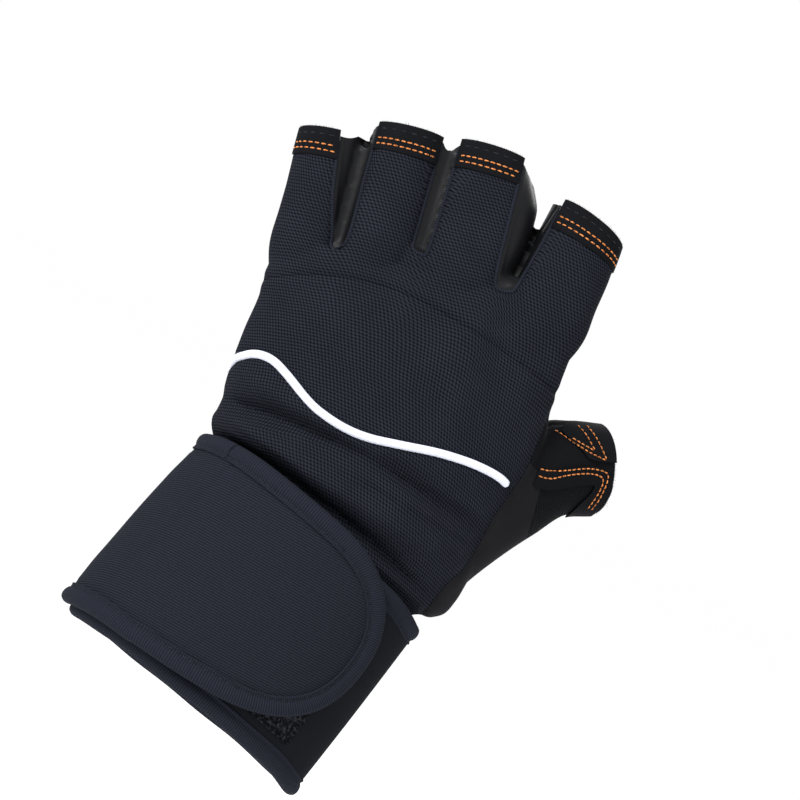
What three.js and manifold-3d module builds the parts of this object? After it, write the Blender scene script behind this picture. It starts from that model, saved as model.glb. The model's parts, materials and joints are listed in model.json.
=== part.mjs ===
// Left-hand weightlifting glove with half fingers and a wrist strap, worn form.
// Millimetres, +Z from the wrist to the knuckles, +X towards the thumb, the back of the hand faces -Y.
// The origin is the middle of the cuff's lower opening, where the wrist goes in.
import * as THREE from 'three';
import { mergeVertices } from 'three/addons/utils/BufferGeometryUtils.js';
import Module from 'manifold-3d';

const wasm = await Module();
wasm.setup();

// Driving dimensions: the cuff, its strap and bindings.
const cuffHeight = 67;
const cuffWidth = 87.4;
const cuffDepth = 54;
const cuffTilt = 11.5;
const cuffPitch = 3;
const cuffFlare = 0.045;
const cuffBackRise = 4.5;
const cuffWall = 3;
const neckDepth = 9;
const neckPlay = 0.5;
const bindingWall = 0.9;
const bindingWidth = 6.5;
const strapWall = 3;
const strapLift = 2;
const strapHeight = 69.5;
const strapStart = 34;
const tongueReach = 38;
const tongueTopRound = 28;
const tongueBottomRound = 25;
const tongueRise = 4.5;
const padWall = 0.9;
const padWidth = 46;
const padHeight = 48;
const padEnd = 32;
const padLift = 9;

// Driving dimensions: the hand, its fingers and the thumb.
const palmLength = 98.5;
const handBreadth = 103;
const handDepth = 37;
const handShift = -1.6;
const fabricWall = 1.8;
const fingerDepth = 23;
const pinkyLength = 33;
const ringLength = 36;
const middleLength = 37;
const indexLength = 28.5;
const pinkyWidth = 22.8;
const ringWidth = 24.6;
const middleWidth = 26.6;
const indexWidth = 26.9;
const hemHeight = 9;
const sideSeamDepth = 4;
const thumbReach = 29;
const thumbHemWidth = 29;
const thumbHemDepth = 26;
const thenarWidth = 37.5;
const pipingDiameter = 2.8;
const overlayWall = 0.8;
const overlayDetail = 0.03;
const stripWidth = 6;
const seamGap = 0.3;

const aroundHand = 24;
const aroundFinger = 12;
const aroundThumb = 16;
const aroundCuff = 28;
const aroundPiping = 6;
const farAway = 200;

const rad = THREE.MathUtils.degToRad;

// Solids from rings of points: every ring has as many points, and flat fans close both ends.
function ringLoft(rings) {
  const count = rings[0].length;
  const positions = [];
  const index = [];
  for (const ring of rings) {
    for (const p of ring) positions.push(p.x, p.y, p.z);
  }
  for (let r = 0; r < rings.length - 1; r += 1) {
    for (let i = 0; i < count; i += 1) {
      const j = (i + 1) % count;
      const a = r * count + i;
      const b = r * count + j;
      index.push(a, b, b + count, a, b + count, a + count);
    }
  }
  const ends = [0, rings.length - 1];
  for (const end of ends) {
    const middle = new THREE.Vector3();
    for (const p of rings[end]) middle.addScaledVector(p, 1 / count);
    const hub = positions.length / 3;
    positions.push(middle.x, middle.y, middle.z);
    for (let i = 0; i < count; i += 1) {
      const a = end * count + i;
      const b = end * count + ((i + 1) % count);
      if (end === 0) index.push(hub, b, a);
      else index.push(hub, a, b);
    }
  }
  return solidOf(positions, index);
}

// A closed band: the profile is a loop of [across, along] pairs that the point function places at each angle.
function bandLoft(profile, pointAt) {
  const positions = [];
  const index = [];
  for (let i = 0; i < aroundCuff; i += 1) {
    const angle = (i / aroundCuff) * Math.PI * 2;
    for (const [across, along] of profile) {
      const p = pointAt(angle, across, along);
      positions.push(p.x, p.y, p.z);
    }
  }
  const size = profile.length;
  for (let i = 0; i < aroundCuff; i += 1) {
    const next = (i + 1) % aroundCuff;
    for (let k = 0; k < size; k += 1) {
      const l = (k + 1) % size;
      const a = i * size + k;
      const b = i * size + l;
      const c = next * size + l;
      const d = next * size + k;
      index.push(a, b, c, a, c, d);
    }
  }
  return solidOf(positions, index);
}

function solidOf(positions, index) {
  const geometry = new THREE.BufferGeometry();
  geometry.setAttribute('position', new THREE.Float32BufferAttribute(positions, 3));
  geometry.setIndex(index);
  return solidFrom(geometry);
}

// Turns a closed geometry into a solid, with its faces turned outwards.
function solidFrom(source) {
  const bare = source.clone();
  bare.deleteAttribute('normal');
  bare.deleteAttribute('uv');
  const geometry = mergeVertices(bare, 1e-4);
  const vertProperties = new Float32Array(geometry.attributes.position.array);
  const triVerts = new Uint32Array(geometry.index.array);
  if (signedVolume(vertProperties, triVerts) < 0) {
    for (let t = 0; t < triVerts.length; t += 3) {
      const first = triVerts[t];
      triVerts[t] = triVerts[t + 1];
      triVerts[t + 1] = first;
    }
  }
  return new wasm.Manifold(new wasm.Mesh({ numProp: 3, vertProperties, triVerts }));
}

function signedVolume(points, triangles) {
  const a = new THREE.Vector3();
  const b = new THREE.Vector3();
  const c = new THREE.Vector3();
  let sum = 0;
  for (let t = 0; t < triangles.length; t += 3) {
    a.fromArray(points, triangles[t] * 3);
    b.fromArray(points, triangles[t + 1] * 3);
    c.fromArray(points, triangles[t + 2] * 3);
    sum += a.dot(b.cross(c)) / 6;
  }
  return sum;
}

function geometryOf(solid) {
  const mesh = solid.getMesh();
  const geometry = new THREE.BufferGeometry();
  geometry.setAttribute('position', new THREE.Float32BufferAttribute(mesh.vertProperties, 3));
  geometry.setIndex(Array.from(mesh.triVerts));
  geometry.computeVertexNormals();
  return geometry;
}

function union(solids) {
  return solids.reduce((whole, next) => whole.add(next));
}

// The largest body of a cut, without the thin offcuts that a slanting cut can leave beside it.
function mainBody(solid) {
  return solid.decompose().reduce((best, next) => (next.volume() > best.volume() ? next : best));
}

// A cutter: an outline of [x, z] pairs, pushed along Y through the whole glove.
function throughCutter(outline, near = -farAway, far = farAway) {
  const shape = new THREE.Shape(outline.map(([x, z]) => new THREE.Vector2(x, z)));
  const geometry = new THREE.ExtrudeGeometry(shape, { depth: far - near, bevelEnabled: false, steps: 1 });
  geometry.rotateX(Math.PI / 2);
  geometry.translate(0, far, 0);
  return solidFrom(geometry);
}

// Moves an outline outwards by a distance, or inwards when it is negative.
function grown(outline, distance) {
  const points = outline.map(([x, z]) => new THREE.Vector2(x, z));
  const turn = Math.sign(THREE.ShapeUtils.area(points));
  return points.map((p, i) => {
    const before = points[(i + points.length - 1) % points.length];
    const after = points[(i + 1) % points.length];
    const inWay = p.clone().sub(before).normalize();
    const outWay = after.clone().sub(p).normalize();
    const normal = new THREE.Vector2(inWay.y + outWay.y, -inWay.x - outWay.x);
    normal.normalize();
    const spread = Math.max(0.4, normal.x * outWay.y - normal.y * outWay.x);
    return [p.x + (normal.x * distance * turn) / spread, p.y + (normal.y * distance * turn) / spread];
  });
}

// The cuff's own frame: across towards the thumb, deep towards the palm, along towards the hand.
const cuffAcross = new THREE.Vector3(Math.cos(rad(cuffTilt)), 0, -Math.sin(rad(cuffTilt)));
const cuffAlong = new THREE.Vector3(
  Math.sin(rad(cuffTilt)) * Math.cos(rad(cuffPitch)),
  Math.sin(rad(cuffPitch)),
  Math.cos(rad(cuffTilt)) * Math.cos(rad(cuffPitch)),
);
const cuffDeep = new THREE.Vector3().crossVectors(cuffAlong, cuffAcross);

function cuffPoint(angle, outwards, along) {
  const x = (cuffWidth / 2) * Math.cos(angle);
  const y = (cuffDepth / 2) * Math.sin(angle);
  const normal = new THREE.Vector2(Math.cos(angle) / cuffWidth, Math.sin(angle) / cuffDepth).normalize();
  return new THREE.Vector3()
    .addScaledVector(cuffAcross, x + normal.x * outwards)
    .addScaledVector(cuffDeep, y + normal.y * outwards)
    .addScaledVector(cuffAlong, along);
}

// The worn shape of the cuff and of what goes into it: it flares to the forearm, and its back rides up.
// The rise fades out between two heights above the cuff's top.
const riseFades = { from: 6, to: 40 };

function wornShape(p) {
  const across = p.dot(cuffAcross);
  const deep = p.dot(cuffDeep);
  const along = p.dot(cuffAlong);
  const flare = 1 + cuffFlare * (1 - THREE.MathUtils.clamp(along / cuffHeight, 0, 1));
  const back = THREE.MathUtils.smoothstep(-deep, 0, cuffDepth / 2);
  const fade = 1 - THREE.MathUtils.smoothstep(along - cuffHeight, riseFades.from, riseFades.to);
  return p.set(0, 0, 0)
    .addScaledVector(cuffAcross, across * flare)
    .addScaledVector(cuffDeep, deep * flare)
    .addScaledVector(cuffAlong, along + cuffBackRise * back * fade);
}

function wornGeometry(geometry) {
  const points = geometry.attributes.position;
  for (let i = 0; i < points.count; i += 1) {
    const p = wornShape(new THREE.Vector3().fromBufferAttribute(points, i));
    points.setXYZ(i, p.x, p.y, p.z);
  }
  geometry.computeVertexNormals();
  return geometry;
}

// A layer of the cuff between two distances from its outer face.
function cuffLayer(inner, outer, bottom, top) {
  return bandLoft([[outer, bottom], [outer, top], [inner, top], [inner, bottom]], cuffPoint);
}

// Straight cutter in the cuff's frame: an outline of [across, along] pairs, between two depths.
function cuffCutter(outline, near, far) {
  const shape = new THREE.Shape(outline.map(([across, along]) => new THREE.Vector2(across, along)));
  const geometry = new THREE.ExtrudeGeometry(shape, { depth: far - near, bevelEnabled: false, steps: 1 });
  const frame = new THREE.Matrix4().makeBasis(cuffAcross, cuffAlong, cuffDeep.clone().negate());
  geometry.translate(0, 0, -far);
  geometry.applyMatrix4(frame);
  return solidFrom(geometry);
}

// The palm starts at the cuff's top: places on the hand are shares of its length and breadth from there.
const handStart = cuffAlong.clone().multiplyScalar(cuffHeight);
const halfBreadth = handBreadth / 2;
const halfThick = handDepth / 2;

function handPlace(across, up) {
  return [handStart.x + handShift + across * halfBreadth, handStart.z + up * palmLength];
}

// Folds pressed into the back above the cuff: shares of breadth and palm length, depth out of the face in mm.
const folds = [
  { from: [-0.86, 0.265], to: [0.92, 0.275], sag: 0.05, rise: -2.6, wide: 0.032 },
  { from: [-0.78, 0.215], to: [0.95, 0.14], sag: 0.012, rise: 2.2, wide: 0.042 },
  { from: [-0.72, 0.162], to: [0.8, 0.02], sag: 0.03, rise: -2.2, wide: 0.026 },
  { from: [-0.9, 0.36], to: [0.25, 0.31], sag: 0.02, rise: 1.4, wide: 0.035 },
];

function foldRise(x, z) {
  let rise = 0;
  for (const fold of folds) {
    const [x0, z0] = handPlace(...fold.from);
    const [x1, z1] = handPlace(...fold.to);
    const share = (x - x0) / (x1 - x0);
    const starts = THREE.MathUtils.smoothstep(share, -0.12, 0.12);
    const ends = THREE.MathUtils.smoothstep(share, 0.85, 1.1);
    const middle = THREE.MathUtils.lerp(z0, z1, share) + fold.sag * palmLength * 4 * share * (1 - share);
    const distance = (z - middle) / (fold.wide * palmLength);
    rise += starts * (1 - ends) * fold.rise * Math.exp(-distance * distance);
  }
  return rise;
}

// Sections of the hand, a row for each level above the cuff.
// up, shift: place in shares of palm length and half breadth.
// left, right: half widths in shares of half breadth. back, palm: half depths in shares of half the depth.
// follow: share of the cuff's lean. slope: degrees.
const handSections = [
  { up: 0.045, shift: 0.03, left: 0.85, right: 0.87, back: 1.22, palm: 1.22, follow: 1, slope: 0 },
  { up: 0.085, shift: 0.05, left: 0.945, right: 0.93, back: 1.3, palm: 1.24, follow: 0.98, slope: 0 },
  { up: 0.115, shift: 0.055, left: 0.96, right: 0.94, back: 1.3, palm: 1.22, follow: 0.9, slope: 0 },
  { up: 0.145, shift: 0.06, left: 0.955, right: 0.94, back: 1.28, palm: 1.2, follow: 0.8, slope: 0 },
  { up: 0.205, shift: 0.06, left: 0.95, right: 0.935, back: 1.23, palm: 1.16, follow: 0.6, slope: 0 },
  { up: 0.265, shift: 0.05, left: 0.96, right: 0.945, back: 1.16, palm: 1.14, follow: 0.42, slope: 0 },
  { up: 0.3, shift: 0.045, left: 0.965, right: 0.955, back: 1.12, palm: 1.13, follow: 0.34, slope: 0 },
  { up: 0.35, shift: 0.04, left: 0.97, right: 0.97, back: 1.07, palm: 1.12, follow: 0.2, slope: 0 },
  { up: 0.52, shift: 0.025, left: 0.995, right: 1.005, back: 0.99, palm: 1.07, follow: 0, slope: 0 },
  { up: 0.63, shift: 0.005, left: 0.985, right: 0.99, back: 0.97, palm: 1.03, follow: 0, slope: -2 },
  { up: 0.73, shift: -0.03, left: 0.985, right: 0.965, back: 0.92, palm: 0.96, follow: 0, slope: -5 },
  { up: 0.81, shift: -0.06, left: 0.97, right: 0.975, back: 0.82, palm: 0.86, follow: 0, slope: -8 },
  { up: 0.88, shift: -0.08, left: 0.965, right: 0.985, back: 0.69, palm: 0.72, follow: 0, slope: -11 },
  { up: 0.935, shift: -0.09, left: 0.95, right: 0.96, back: 0.57, palm: 0.6, follow: 0, slope: -13 },
];
const bodySquareness = 2.35;

// One ring of points: an oval with its own half sizes on each side, squarer with a higher power.
function ovalRing(count, frame, sizes, power) {
  const ring = [];
  for (let i = 0; i < count; i += 1) {
    const angle = (i / count) * Math.PI * 2;
    const c = Math.cos(angle);
    const s = Math.sin(angle);
    const across = Math.sign(c) * Math.abs(c) ** (2 / power) * (c > 0 ? sizes.right : sizes.left);
    const deep = Math.sign(s) * Math.abs(s) ** (2 / power) * (s > 0 ? sizes.palm : sizes.back);
    ring.push(new THREE.Vector3()
      .copy(frame.centre)
      .addScaledVector(frame.across, across)
      .addScaledVector(frame.deep, deep));
  }
  return ring;
}

function leaningFrame(centre, tilt, pitch) {
  const across = new THREE.Vector3(Math.cos(rad(tilt)), 0, -Math.sin(rad(tilt)));
  const along = new THREE.Vector3(
    Math.sin(rad(tilt)) * Math.cos(rad(pitch)),
    Math.sin(rad(pitch)),
    Math.cos(rad(tilt)) * Math.cos(rad(pitch)),
  );
  return { centre, across, deep: new THREE.Vector3().crossVectors(along, across) };
}

// The hand without its fingers, set in from the outer face by a distance. It starts inside the cuff.
function handBody(inset) {
  const neckClear = cuffWall + bindingWall + 2 * seamGap + neckPlay;
  const neck = {
    left: cuffWidth / 2 - neckClear - inset,
    right: cuffWidth / 2 - neckClear - inset,
    back: cuffDepth / 2 - neckClear - inset,
    palm: cuffDepth / 2 - neckClear - inset,
  };
  const rings = [];
  const opened = inset > 0 ? bindingWidth : 0;
  for (const level of [-neckDepth - opened, 0, bindingWall + 2 * seamGap]) {
    const centre = cuffAlong.clone().multiplyScalar(cuffHeight + level);
    rings.push(ovalRing(aroundHand, leaningFrame(centre, cuffTilt, cuffPitch), neck, 2).map(wornShape));
  }
  handSections.forEach((row, i) => {
    const lowered = i === handSections.length - 1 ? inset : 0;
    const [x, z] = handPlace(row.shift, row.up);
    const drift = row.up * palmLength * Math.sin(rad(cuffPitch)) * row.follow;
    const centre = new THREE.Vector3(x, handStart.y + drift, z - lowered);
    const frame = leaningFrame(centre, cuffTilt * row.follow + row.slope, cuffPitch * row.follow);
    const sizes = {
      left: Math.max(1, row.left * halfBreadth - inset),
      right: Math.max(1, row.right * halfBreadth - inset),
      back: Math.max(1, row.back * halfThick - inset),
      palm: Math.max(1, row.palm * halfThick - inset),
    };
    const power = THREE.MathUtils.lerp(bodySquareness, 2, row.follow);
    const ring = ovalRing(aroundHand, frame, sizes, power).map(wornShape);
    for (const p of ring) {
      const facing = THREE.MathUtils.smoothstep(centre.y - p.y, 0, 0.7 * halfThick);
      p.y -= facing * foldRise(p.x, p.z);
    }
    rings.push(ring);
  });
  return ringLoft(rings);
}

// Half fingers: at is the centre beside the crotch in shares of half breadth and palm length.
// length goes from there to the hem. lean, hemSlope and pitch (towards the palm) are degrees.
// root and baseY: where the base starts in the hand, and how deep it lies.
// belly: how far the finger swells towards the thumb, as a share of its half width.
const fingers = {
  pinky: {
    at: [-0.89, 0.862], length: pinkyLength, width: pinkyWidth, lean: 13.6, hemSlope: 16, pitch: 8,
    baseShare: 0.96, root: [-0.73, 0.65], baseY: 3, belly: 0,
  },
  ring: {
    at: [-0.475, 0.953], length: ringLength, width: ringWidth, lean: 11.8, hemSlope: 13.7, pitch: 8,
    baseShare: 0.98, root: [-0.4, 0.73], baseY: 0, belly: 0,
  },
  middle: {
    at: [0.055, 1.011], length: middleLength, width: middleWidth, lean: 13.6, hemSlope: 10.4, pitch: 11,
    baseShare: 1.04, root: [0.02, 0.77], baseY: 0, belly: 0.38,
  },
  index: {
    at: [0.642, 1.031], length: indexLength, width: indexWidth, lean: 2.8, hemSlope: -8.7, pitch: 15,
    baseShare: 1.04, root: [0.6, 0.79], baseY: 1, belly: 0,
  },
};
const webSpread = 1.04;
const webRise = 5;

// Webs between the fingers: their tops in shares of half breadth and palm length.
const webs = [
  { left: 'pinky', right: 'ring', top: [-0.672, 0.876] },
  { left: 'ring', right: 'middle', top: [-0.222, 1.003] },
  { left: 'middle', right: 'index', top: [0.36, 1.06] },
];
const webSections = [[-0.5, 1, 0.9], [-0.12, 0.9, 0.78], [0, 0.5, 0.42]];

function fingerCentre(finger, share) {
  const [x, z] = handPlace(...finger.at);
  const reach = share * finger.length;
  return [x - Math.sin(rad(finger.lean)) * reach, z + Math.cos(rad(finger.lean)) * reach];
}

function fingerHalfWidth(finger, share) {
  return (finger.width / 2) * THREE.MathUtils.lerp(finger.baseShare, 1, THREE.MathUtils.clamp(share, 0, 1));
}

function fingerSlope(finger, share) {
  return THREE.MathUtils.lerp(finger.lean, finger.hemSlope, THREE.MathUtils.clamp(share, 0, 1));
}

// A point beside a finger's middle line: side is a share of its half width, towards the thumb when positive.
function besideFinger(finger, share, side) {
  const [x, z] = fingerCentre(finger, share);
  const slope = rad(fingerSlope(finger, share));
  const offset = side * fingerHalfWidth(finger, share);
  return [x + Math.cos(slope) * offset, z + Math.sin(slope) * offset];
}

function fingerTube(finger, inset) {
  const [rootX, rootZ] = handPlace(...finger.root);
  const rootSize = 0.9 * fingerHalfWidth(finger, 0) - inset;
  const rootDeep = 0.85 * (fingerDepth / 2) - inset;
  const rootCentre = new THREE.Vector3(rootX, handStart.y + finger.baseY + 0.5, rootZ);
  const rings = [
    ovalRing(aroundFinger, leaningFrame(rootCentre, -finger.lean / 2, 0), evenSizes(rootSize, rootDeep), 2.2),
  ];
  const past = inset > 0 ? (2 * seamGap + 1) / finger.length : 0;
  const rise = webRise / finger.length;
  const stations = [[-rise, webSpread, 0], [rise, 1, 0.6], [1 + past, 1, 0]];
  if (finger.belly > 0) stations.splice(2, 0, [0.6, 1, 1]);
  for (const [share, spread, bulge] of stations) {
    const [x, z] = fingerCentre(finger, share);
    const y = handStart.y + finger.baseY + Math.max(0, share) * finger.length * Math.tan(rad(finger.pitch));
    const pitch = finger.pitch * Math.max(0, share);
    const frame = leaningFrame(new THREE.Vector3(x, y, z), -fingerSlope(finger, share), pitch);
    const half = fingerHalfWidth(finger, share);
    const sizes = evenSizes(half * spread - inset, fingerDepth / 2 - inset);
    sizes.right += half * finger.belly * bulge;
    rings.push(ovalRing(aroundFinger, frame, sizes, 2.2));
  }
  return ringLoft(rings);
}

// A saddle that joins two fingers below their crotch: rows of depth below the top, width and depth shares.
function webSaddle(web, inset) {
  const leftFinger = fingers[web.left];
  const rightFinger = fingers[web.right];
  const [topX, topZ] = handPlace(...web.top);
  const halfSpan = (fingerCentre(rightFinger, 0)[0] - fingerCentre(leftFinger, 0)[0]) / 2;
  const y = handStart.y + (leftFinger.baseY + rightFinger.baseY) / 2;
  const rings = webSections.map(([below, wide, deep]) => {
    const z = topZ + below * 2 * halfSpan - inset;
    const frame = leaningFrame(new THREE.Vector3(topX - below * halfSpan * 0.4, y, z), 0, 0);
    const sizes = evenSizes(wide * halfSpan - inset, (deep * fingerDepth) / 2 - inset);
    return ovalRing(aroundFinger, frame, sizes, 2.2);
  });
  return ringLoft(rings);
}

function evenSizes(across, deep) {
  return { left: across, right: across, back: deep, palm: deep };
}

// Thumb and the ball of the thumb: at is a centre in shares of half breadth and palm length.
// turn: degrees from +Z towards +X.
// wide: width in shares of the ball's width. deep: half depth in shares of the hem's depth.
// back: how far the centre lies behind the hand's middle, in shares of the thumb's reach.
const thumbSections = [
  { at: [0.6, 0.03], turn: 10, wide: 0.88, deep: 0.6, back: 0.1 },
  { at: [0.68, 0.19], turn: 15, wide: 0.96, deep: 0.62, back: 0.16 },
  { at: [0.79, 0.34], turn: 30, wide: 1.02, deep: 0.62, back: 0.24 },
  { at: [0.965, 0.475], turn: 45, wide: 0.98, deep: 0.6, back: 0.36 },
];
const thumbHemAt = [1.375, 0.627];
const thumbHemTurn = 67;
const thumbLast = { turn: 60, share: 0.62 };

function thumbTube(inset, pastHem = 0) {
  const rings = thumbSections.map((row) => {
    const [x, z] = handPlace(...row.at);
    const centre = new THREE.Vector3(x, handStart.y + row.back * thumbReach, z);
    const sizes = evenSizes(row.wide * thenarWidth / 2 - inset, row.deep * thumbHemDepth - inset);
    return ovalRing(aroundThumb, leaningFrame(centre, row.turn, row.back * 30), sizes, 2.1);
  });
  const last = thumbSections[thumbSections.length - 1];
  const [hemX, hemZ] = handPlace(...thumbHemAt);
  const [lastX, lastZ] = handPlace(...last.at);
  const hemY = handStart.y + 0.72 * thumbReach;
  const lastY = handStart.y + last.back * thumbReach;
  const hemSizes = evenSizes(thumbHemWidth / 2 - inset, thumbHemDepth / 2 - inset);
  const midCentre = new THREE.Vector3(
    THREE.MathUtils.lerp(lastX, hemX, 0.53),
    THREE.MathUtils.lerp(lastY, hemY, 0.5),
    THREE.MathUtils.lerp(lastZ, hemZ, 0.7),
  );
  const midSizes = evenSizes(thumbHemWidth * 0.535 - inset, thumbHemDepth * 0.53 - inset);
  rings.push(ovalRing(aroundThumb, leaningFrame(midCentre, thumbLast.turn, 22), midSizes, 2.1));
  const hemFrame = leaningFrame(new THREE.Vector3(hemX, hemY, hemZ), thumbHemTurn, 30);
  const outwards = new THREE.Vector3().crossVectors(hemFrame.across, hemFrame.deep);
  if (inset > 0) hemFrame.centre.addScaledVector(outwards, 1 + 2 * seamGap);
  rings.push(ovalRing(aroundThumb, hemFrame, hemSizes, 2.1));
  if (pastHem > 0) {
    hemFrame.centre.addScaledVector(outwards, pastHem);
    rings.push(ovalRing(aroundThumb, hemFrame, hemSizes, 2.1));
  }
  return ringLoft(rings);
}

// The whole skin of the glove above the cuff, before it is cut into its panels.
const fingerList = Object.values(fingers);

function wholeForm(inset) {
  return union([
    handBody(inset),
    thumbTube(inset),
    ...fingerList.map((finger) => fingerTube(finger, inset)),
    ...webs.map((web) => webSaddle(web, inset)),
  ]);
}

const outerForm = wholeForm(0);
let skin = outerForm.subtract(wholeForm(fabricWall));

// Takes a panel out of what is left of the skin, and opens the seam round it.
function takePanel(outline) {
  const panel = skin.intersect(throughCutter(outline));
  skin = skin.subtract(throughCutter(grown(outline, seamGap)));
  return panel;
}

// Strips between the fingers. The seams lie at shares of the half width of the finger on each side.
const fourchettes = [
  { left: 'pinky', right: 'ring', leftSeam: [0.72, 0.1], rightSeam: [-0.84, -0.89] },
  { left: 'ring', right: 'middle', leftSeam: [0.88, 0.84], rightSeam: [-0.92, -0.79] },
  { left: 'middle', right: 'index', leftSeam: [0.76, 0.77], rightSeam: [-0.92, -0.74] },
];
const crotchDrop = 3.4;
const pastHem = 1.3;

function fourchetteOutline({ left, right, leftSeam, rightSeam }) {
  const leftFinger = fingers[left];
  const rightFinger = fingers[right];
  const leftBase = besideFinger(leftFinger, 0.06, leftSeam[0]);
  const rightBase = besideFinger(rightFinger, -0.04, rightSeam[0]);
  const floor = Math.min(leftBase[1], rightBase[1]) - crotchDrop;
  return [
    besideFinger(leftFinger, pastHem, leftSeam[1]),
    besideFinger(leftFinger, 0.5, (leftSeam[0] + leftSeam[1]) / 2),
    leftBase,
    [THREE.MathUtils.lerp(leftBase[0], rightBase[0], 0.3), floor],
    [THREE.MathUtils.lerp(leftBase[0], rightBase[0], 0.7), floor],
    rightBase,
    besideFinger(rightFinger, 0.5, (rightSeam[0] + rightSeam[1]) / 2),
    besideFinger(rightFinger, pastHem, rightSeam[1]),
  ];
}

// The seam along both sides of the hand: everything behind it is the palm. Shares of breadth and thumb reach.
const palmSeam = [[-2, 0], [0.86, 0], [1.03, 0.17], [1.2, 0.4], [1.37, 0.62], [1.7, 0.98]];

function palmCutter(gap) {
  const shape = new THREE.Shape();
  palmSeam.forEach(([across, reach], i) => {
    const [x] = handPlace(across, 0);
    const y = handStart.y + sideSeamDepth + reach * thumbReach - gap;
    if (i === 0) shape.moveTo(x, y);
    else shape.lineTo(x, y);
  });
  shape.lineTo(handPlace(palmSeam[palmSeam.length - 1][0], 0)[0], farAway);
  shape.lineTo(handPlace(palmSeam[0][0], 0)[0], farAway);
  const geometry = new THREE.ExtrudeGeometry(shape, { depth: 2 * farAway, bevelEnabled: false, steps: 1 });
  geometry.translate(0, 0, -farAway / 2);
  return solidFrom(geometry);
}

// Seams across the back, as points in shares of breadth and palm length that a smooth curve joins.
const knuckleSeam = [
  [-1.2, 0.59], [-0.87, 0.716], [-0.53, 0.8], [-0.12, 0.84], [0.35, 0.832], [0.755, 0.805], [1.02, 0.775],
];
const pipingSeam = [
  [-0.98, 0.36], [-0.86, 0.437], [-0.73, 0.466], [-0.6, 0.455], [-0.37, 0.402], [-0.14, 0.388], [0.1, 0.41],
  [0.42, 0.455], [0.72, 0.48], [0.87, 0.476], [0.95, 0.455],
];
const knitEdge = [
  [0.98, 0.78], [0.955, 0.7], [0.965, 0.6], [0.975, 0.52], [0.955, 0.42], [0.935, 0.33], [0.935, 0.25],
  [0.92, 0.15], [0.86, 0.05], [0.8, -0.2],
];

function smoothSeam(points, steps) {
  const curve = new THREE.SplineCurve(points.map((point) => new THREE.Vector2(...handPlace(...point))));
  return curve.getPoints(steps).map((p) => [p.x, p.y]);
}

const knuckleLine = smoothSeam(knuckleSeam, 18);
const pipingLine = smoothSeam(pipingSeam, 26);
const edgeLine = smoothSeam(knitEdge, 14);
const aboveAll = handPlace(0, 1.6)[1];
const belowAll = handPlace(0, -0.5)[1];
const leftOfAll = handPlace(-2, 0)[0];
const rightOfAll = handPlace(2, 0)[0];

// The part of the knit's thumb-side edge between two heights, from the top down.
function edgeBetween(top, bottom) {
  return edgeLine.filter(([, z]) => z < top && z > bottom);
}

function hemOutline(finger) {
  const start = 1 - hemHeight / finger.length;
  const side = 1.15;
  return [
    besideFinger(finger, start, -side),
    besideFinger(finger, start, side),
    besideFinger(finger, pastHem, side),
    besideFinger(finger, pastHem, -side),
  ];
}

const panels = {};
for (const strip of fourchettes) {
  const name = `fourchette_${strip.left}_${strip.right}`;
  panels[name] = { solid: takePanel(fourchetteOutline(strip)), look: 'smooth' };
}
panels.palm_panel = { solid: skin.intersect(palmCutter(0)), look: 'leather' };
skin = skin.subtract(palmCutter(seamGap));
for (const name of Object.keys(fingers)) {
  panels[`hem_${name}`] = { solid: takePanel(hemOutline(fingers[name])), look: 'leather' };
}

const [knuckleStartX] = knuckleLine[0];
const knuckleEnd = knuckleLine[knuckleLine.length - 1];
panels.knuckle_panel = {
  solid: takePanel([...knuckleLine, [knuckleEnd[0], aboveAll], [knuckleStartX, aboveAll]]),
  look: 'knit',
};
panels.back_panel = {
  solid: takePanel([
    [leftOfAll, pipingLine[0][1]],
    ...pipingLine,
    ...edgeBetween(aboveAll, pipingLine[pipingLine.length - 1][1]).reverse(),
    [edgeLine[0][0], aboveAll],
    [leftOfAll, aboveAll],
  ]),
  look: 'knit',
};
panels.wrist_panel = {
  solid: takePanel([
    [leftOfAll, belowAll],
    [edgeLine[edgeLine.length - 1][0], belowAll],
    ...edgeBetween(pipingLine[pipingLine.length - 1][1] + 2 * seamGap, belowAll).reverse(),
    [leftOfAll, edgeLine[0][1]],
  ]),
  look: 'knit',
};

// The thumb's own panels: shares of breadth and palm length.
const gussetEnd = [
  [0.9, 0.56], [1.1, 0.53], [1.13, 0.46], [1.18, 0.35], [1.3, 0.15], [1.3, -0.3], [0.4, -0.3], [0.4, 0.56],
];
const stretchOutline = [
  [1, 0.53], [1.2, 0.517], [1.293, 0.563], [1.38, 0.6], [1.45, 0.577], [1.41, 0.495], [1.36, 0.4], [1.5, 0.1],
  [0.9, 0.1],
];
panels.side_gusset = { solid: takePanel(gussetEnd.map((point) => handPlace(...point))), look: 'smooth' };
panels.thumb_stretch = { solid: takePanel(stretchOutline.map((point) => handPlace(...point))), look: 'knit' };
panels.thumb_back = { solid: skin, look: 'leather' };

// Overlays on the back of the thumb, one fabric thickness above it.
const patchOutline = [
  [1.07, 0.69], [1.233, 0.666], [1.3, 0.651], [1.36, 0.657], [1.6, 0.71], [1.6, 0.95], [1.07, 0.95],
];
const stripLine = [
  [1.08, 0.535], [1.17, 0.545], [1.26, 0.59], [1.36, 0.64], [1.43, 0.63], [1.455, 0.58], [1.43, 0.51],
  [1.39, 0.42],
];

function ribbonOutline(points, width) {
  const line = points.map((point) => new THREE.Vector2(...handPlace(...point)));
  const sides = [1, -1].map((side) => line.map((p, i) => {
    const way = line[Math.min(i + 1, line.length - 1)].clone().sub(line[Math.max(i - 1, 0)]).normalize();
    return [p.x - (way.y * side * width) / 2, p.y + (way.x * side * width) / 2];
  }));
  return [...sides[0], ...sides[1].reverse()];
}

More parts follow.
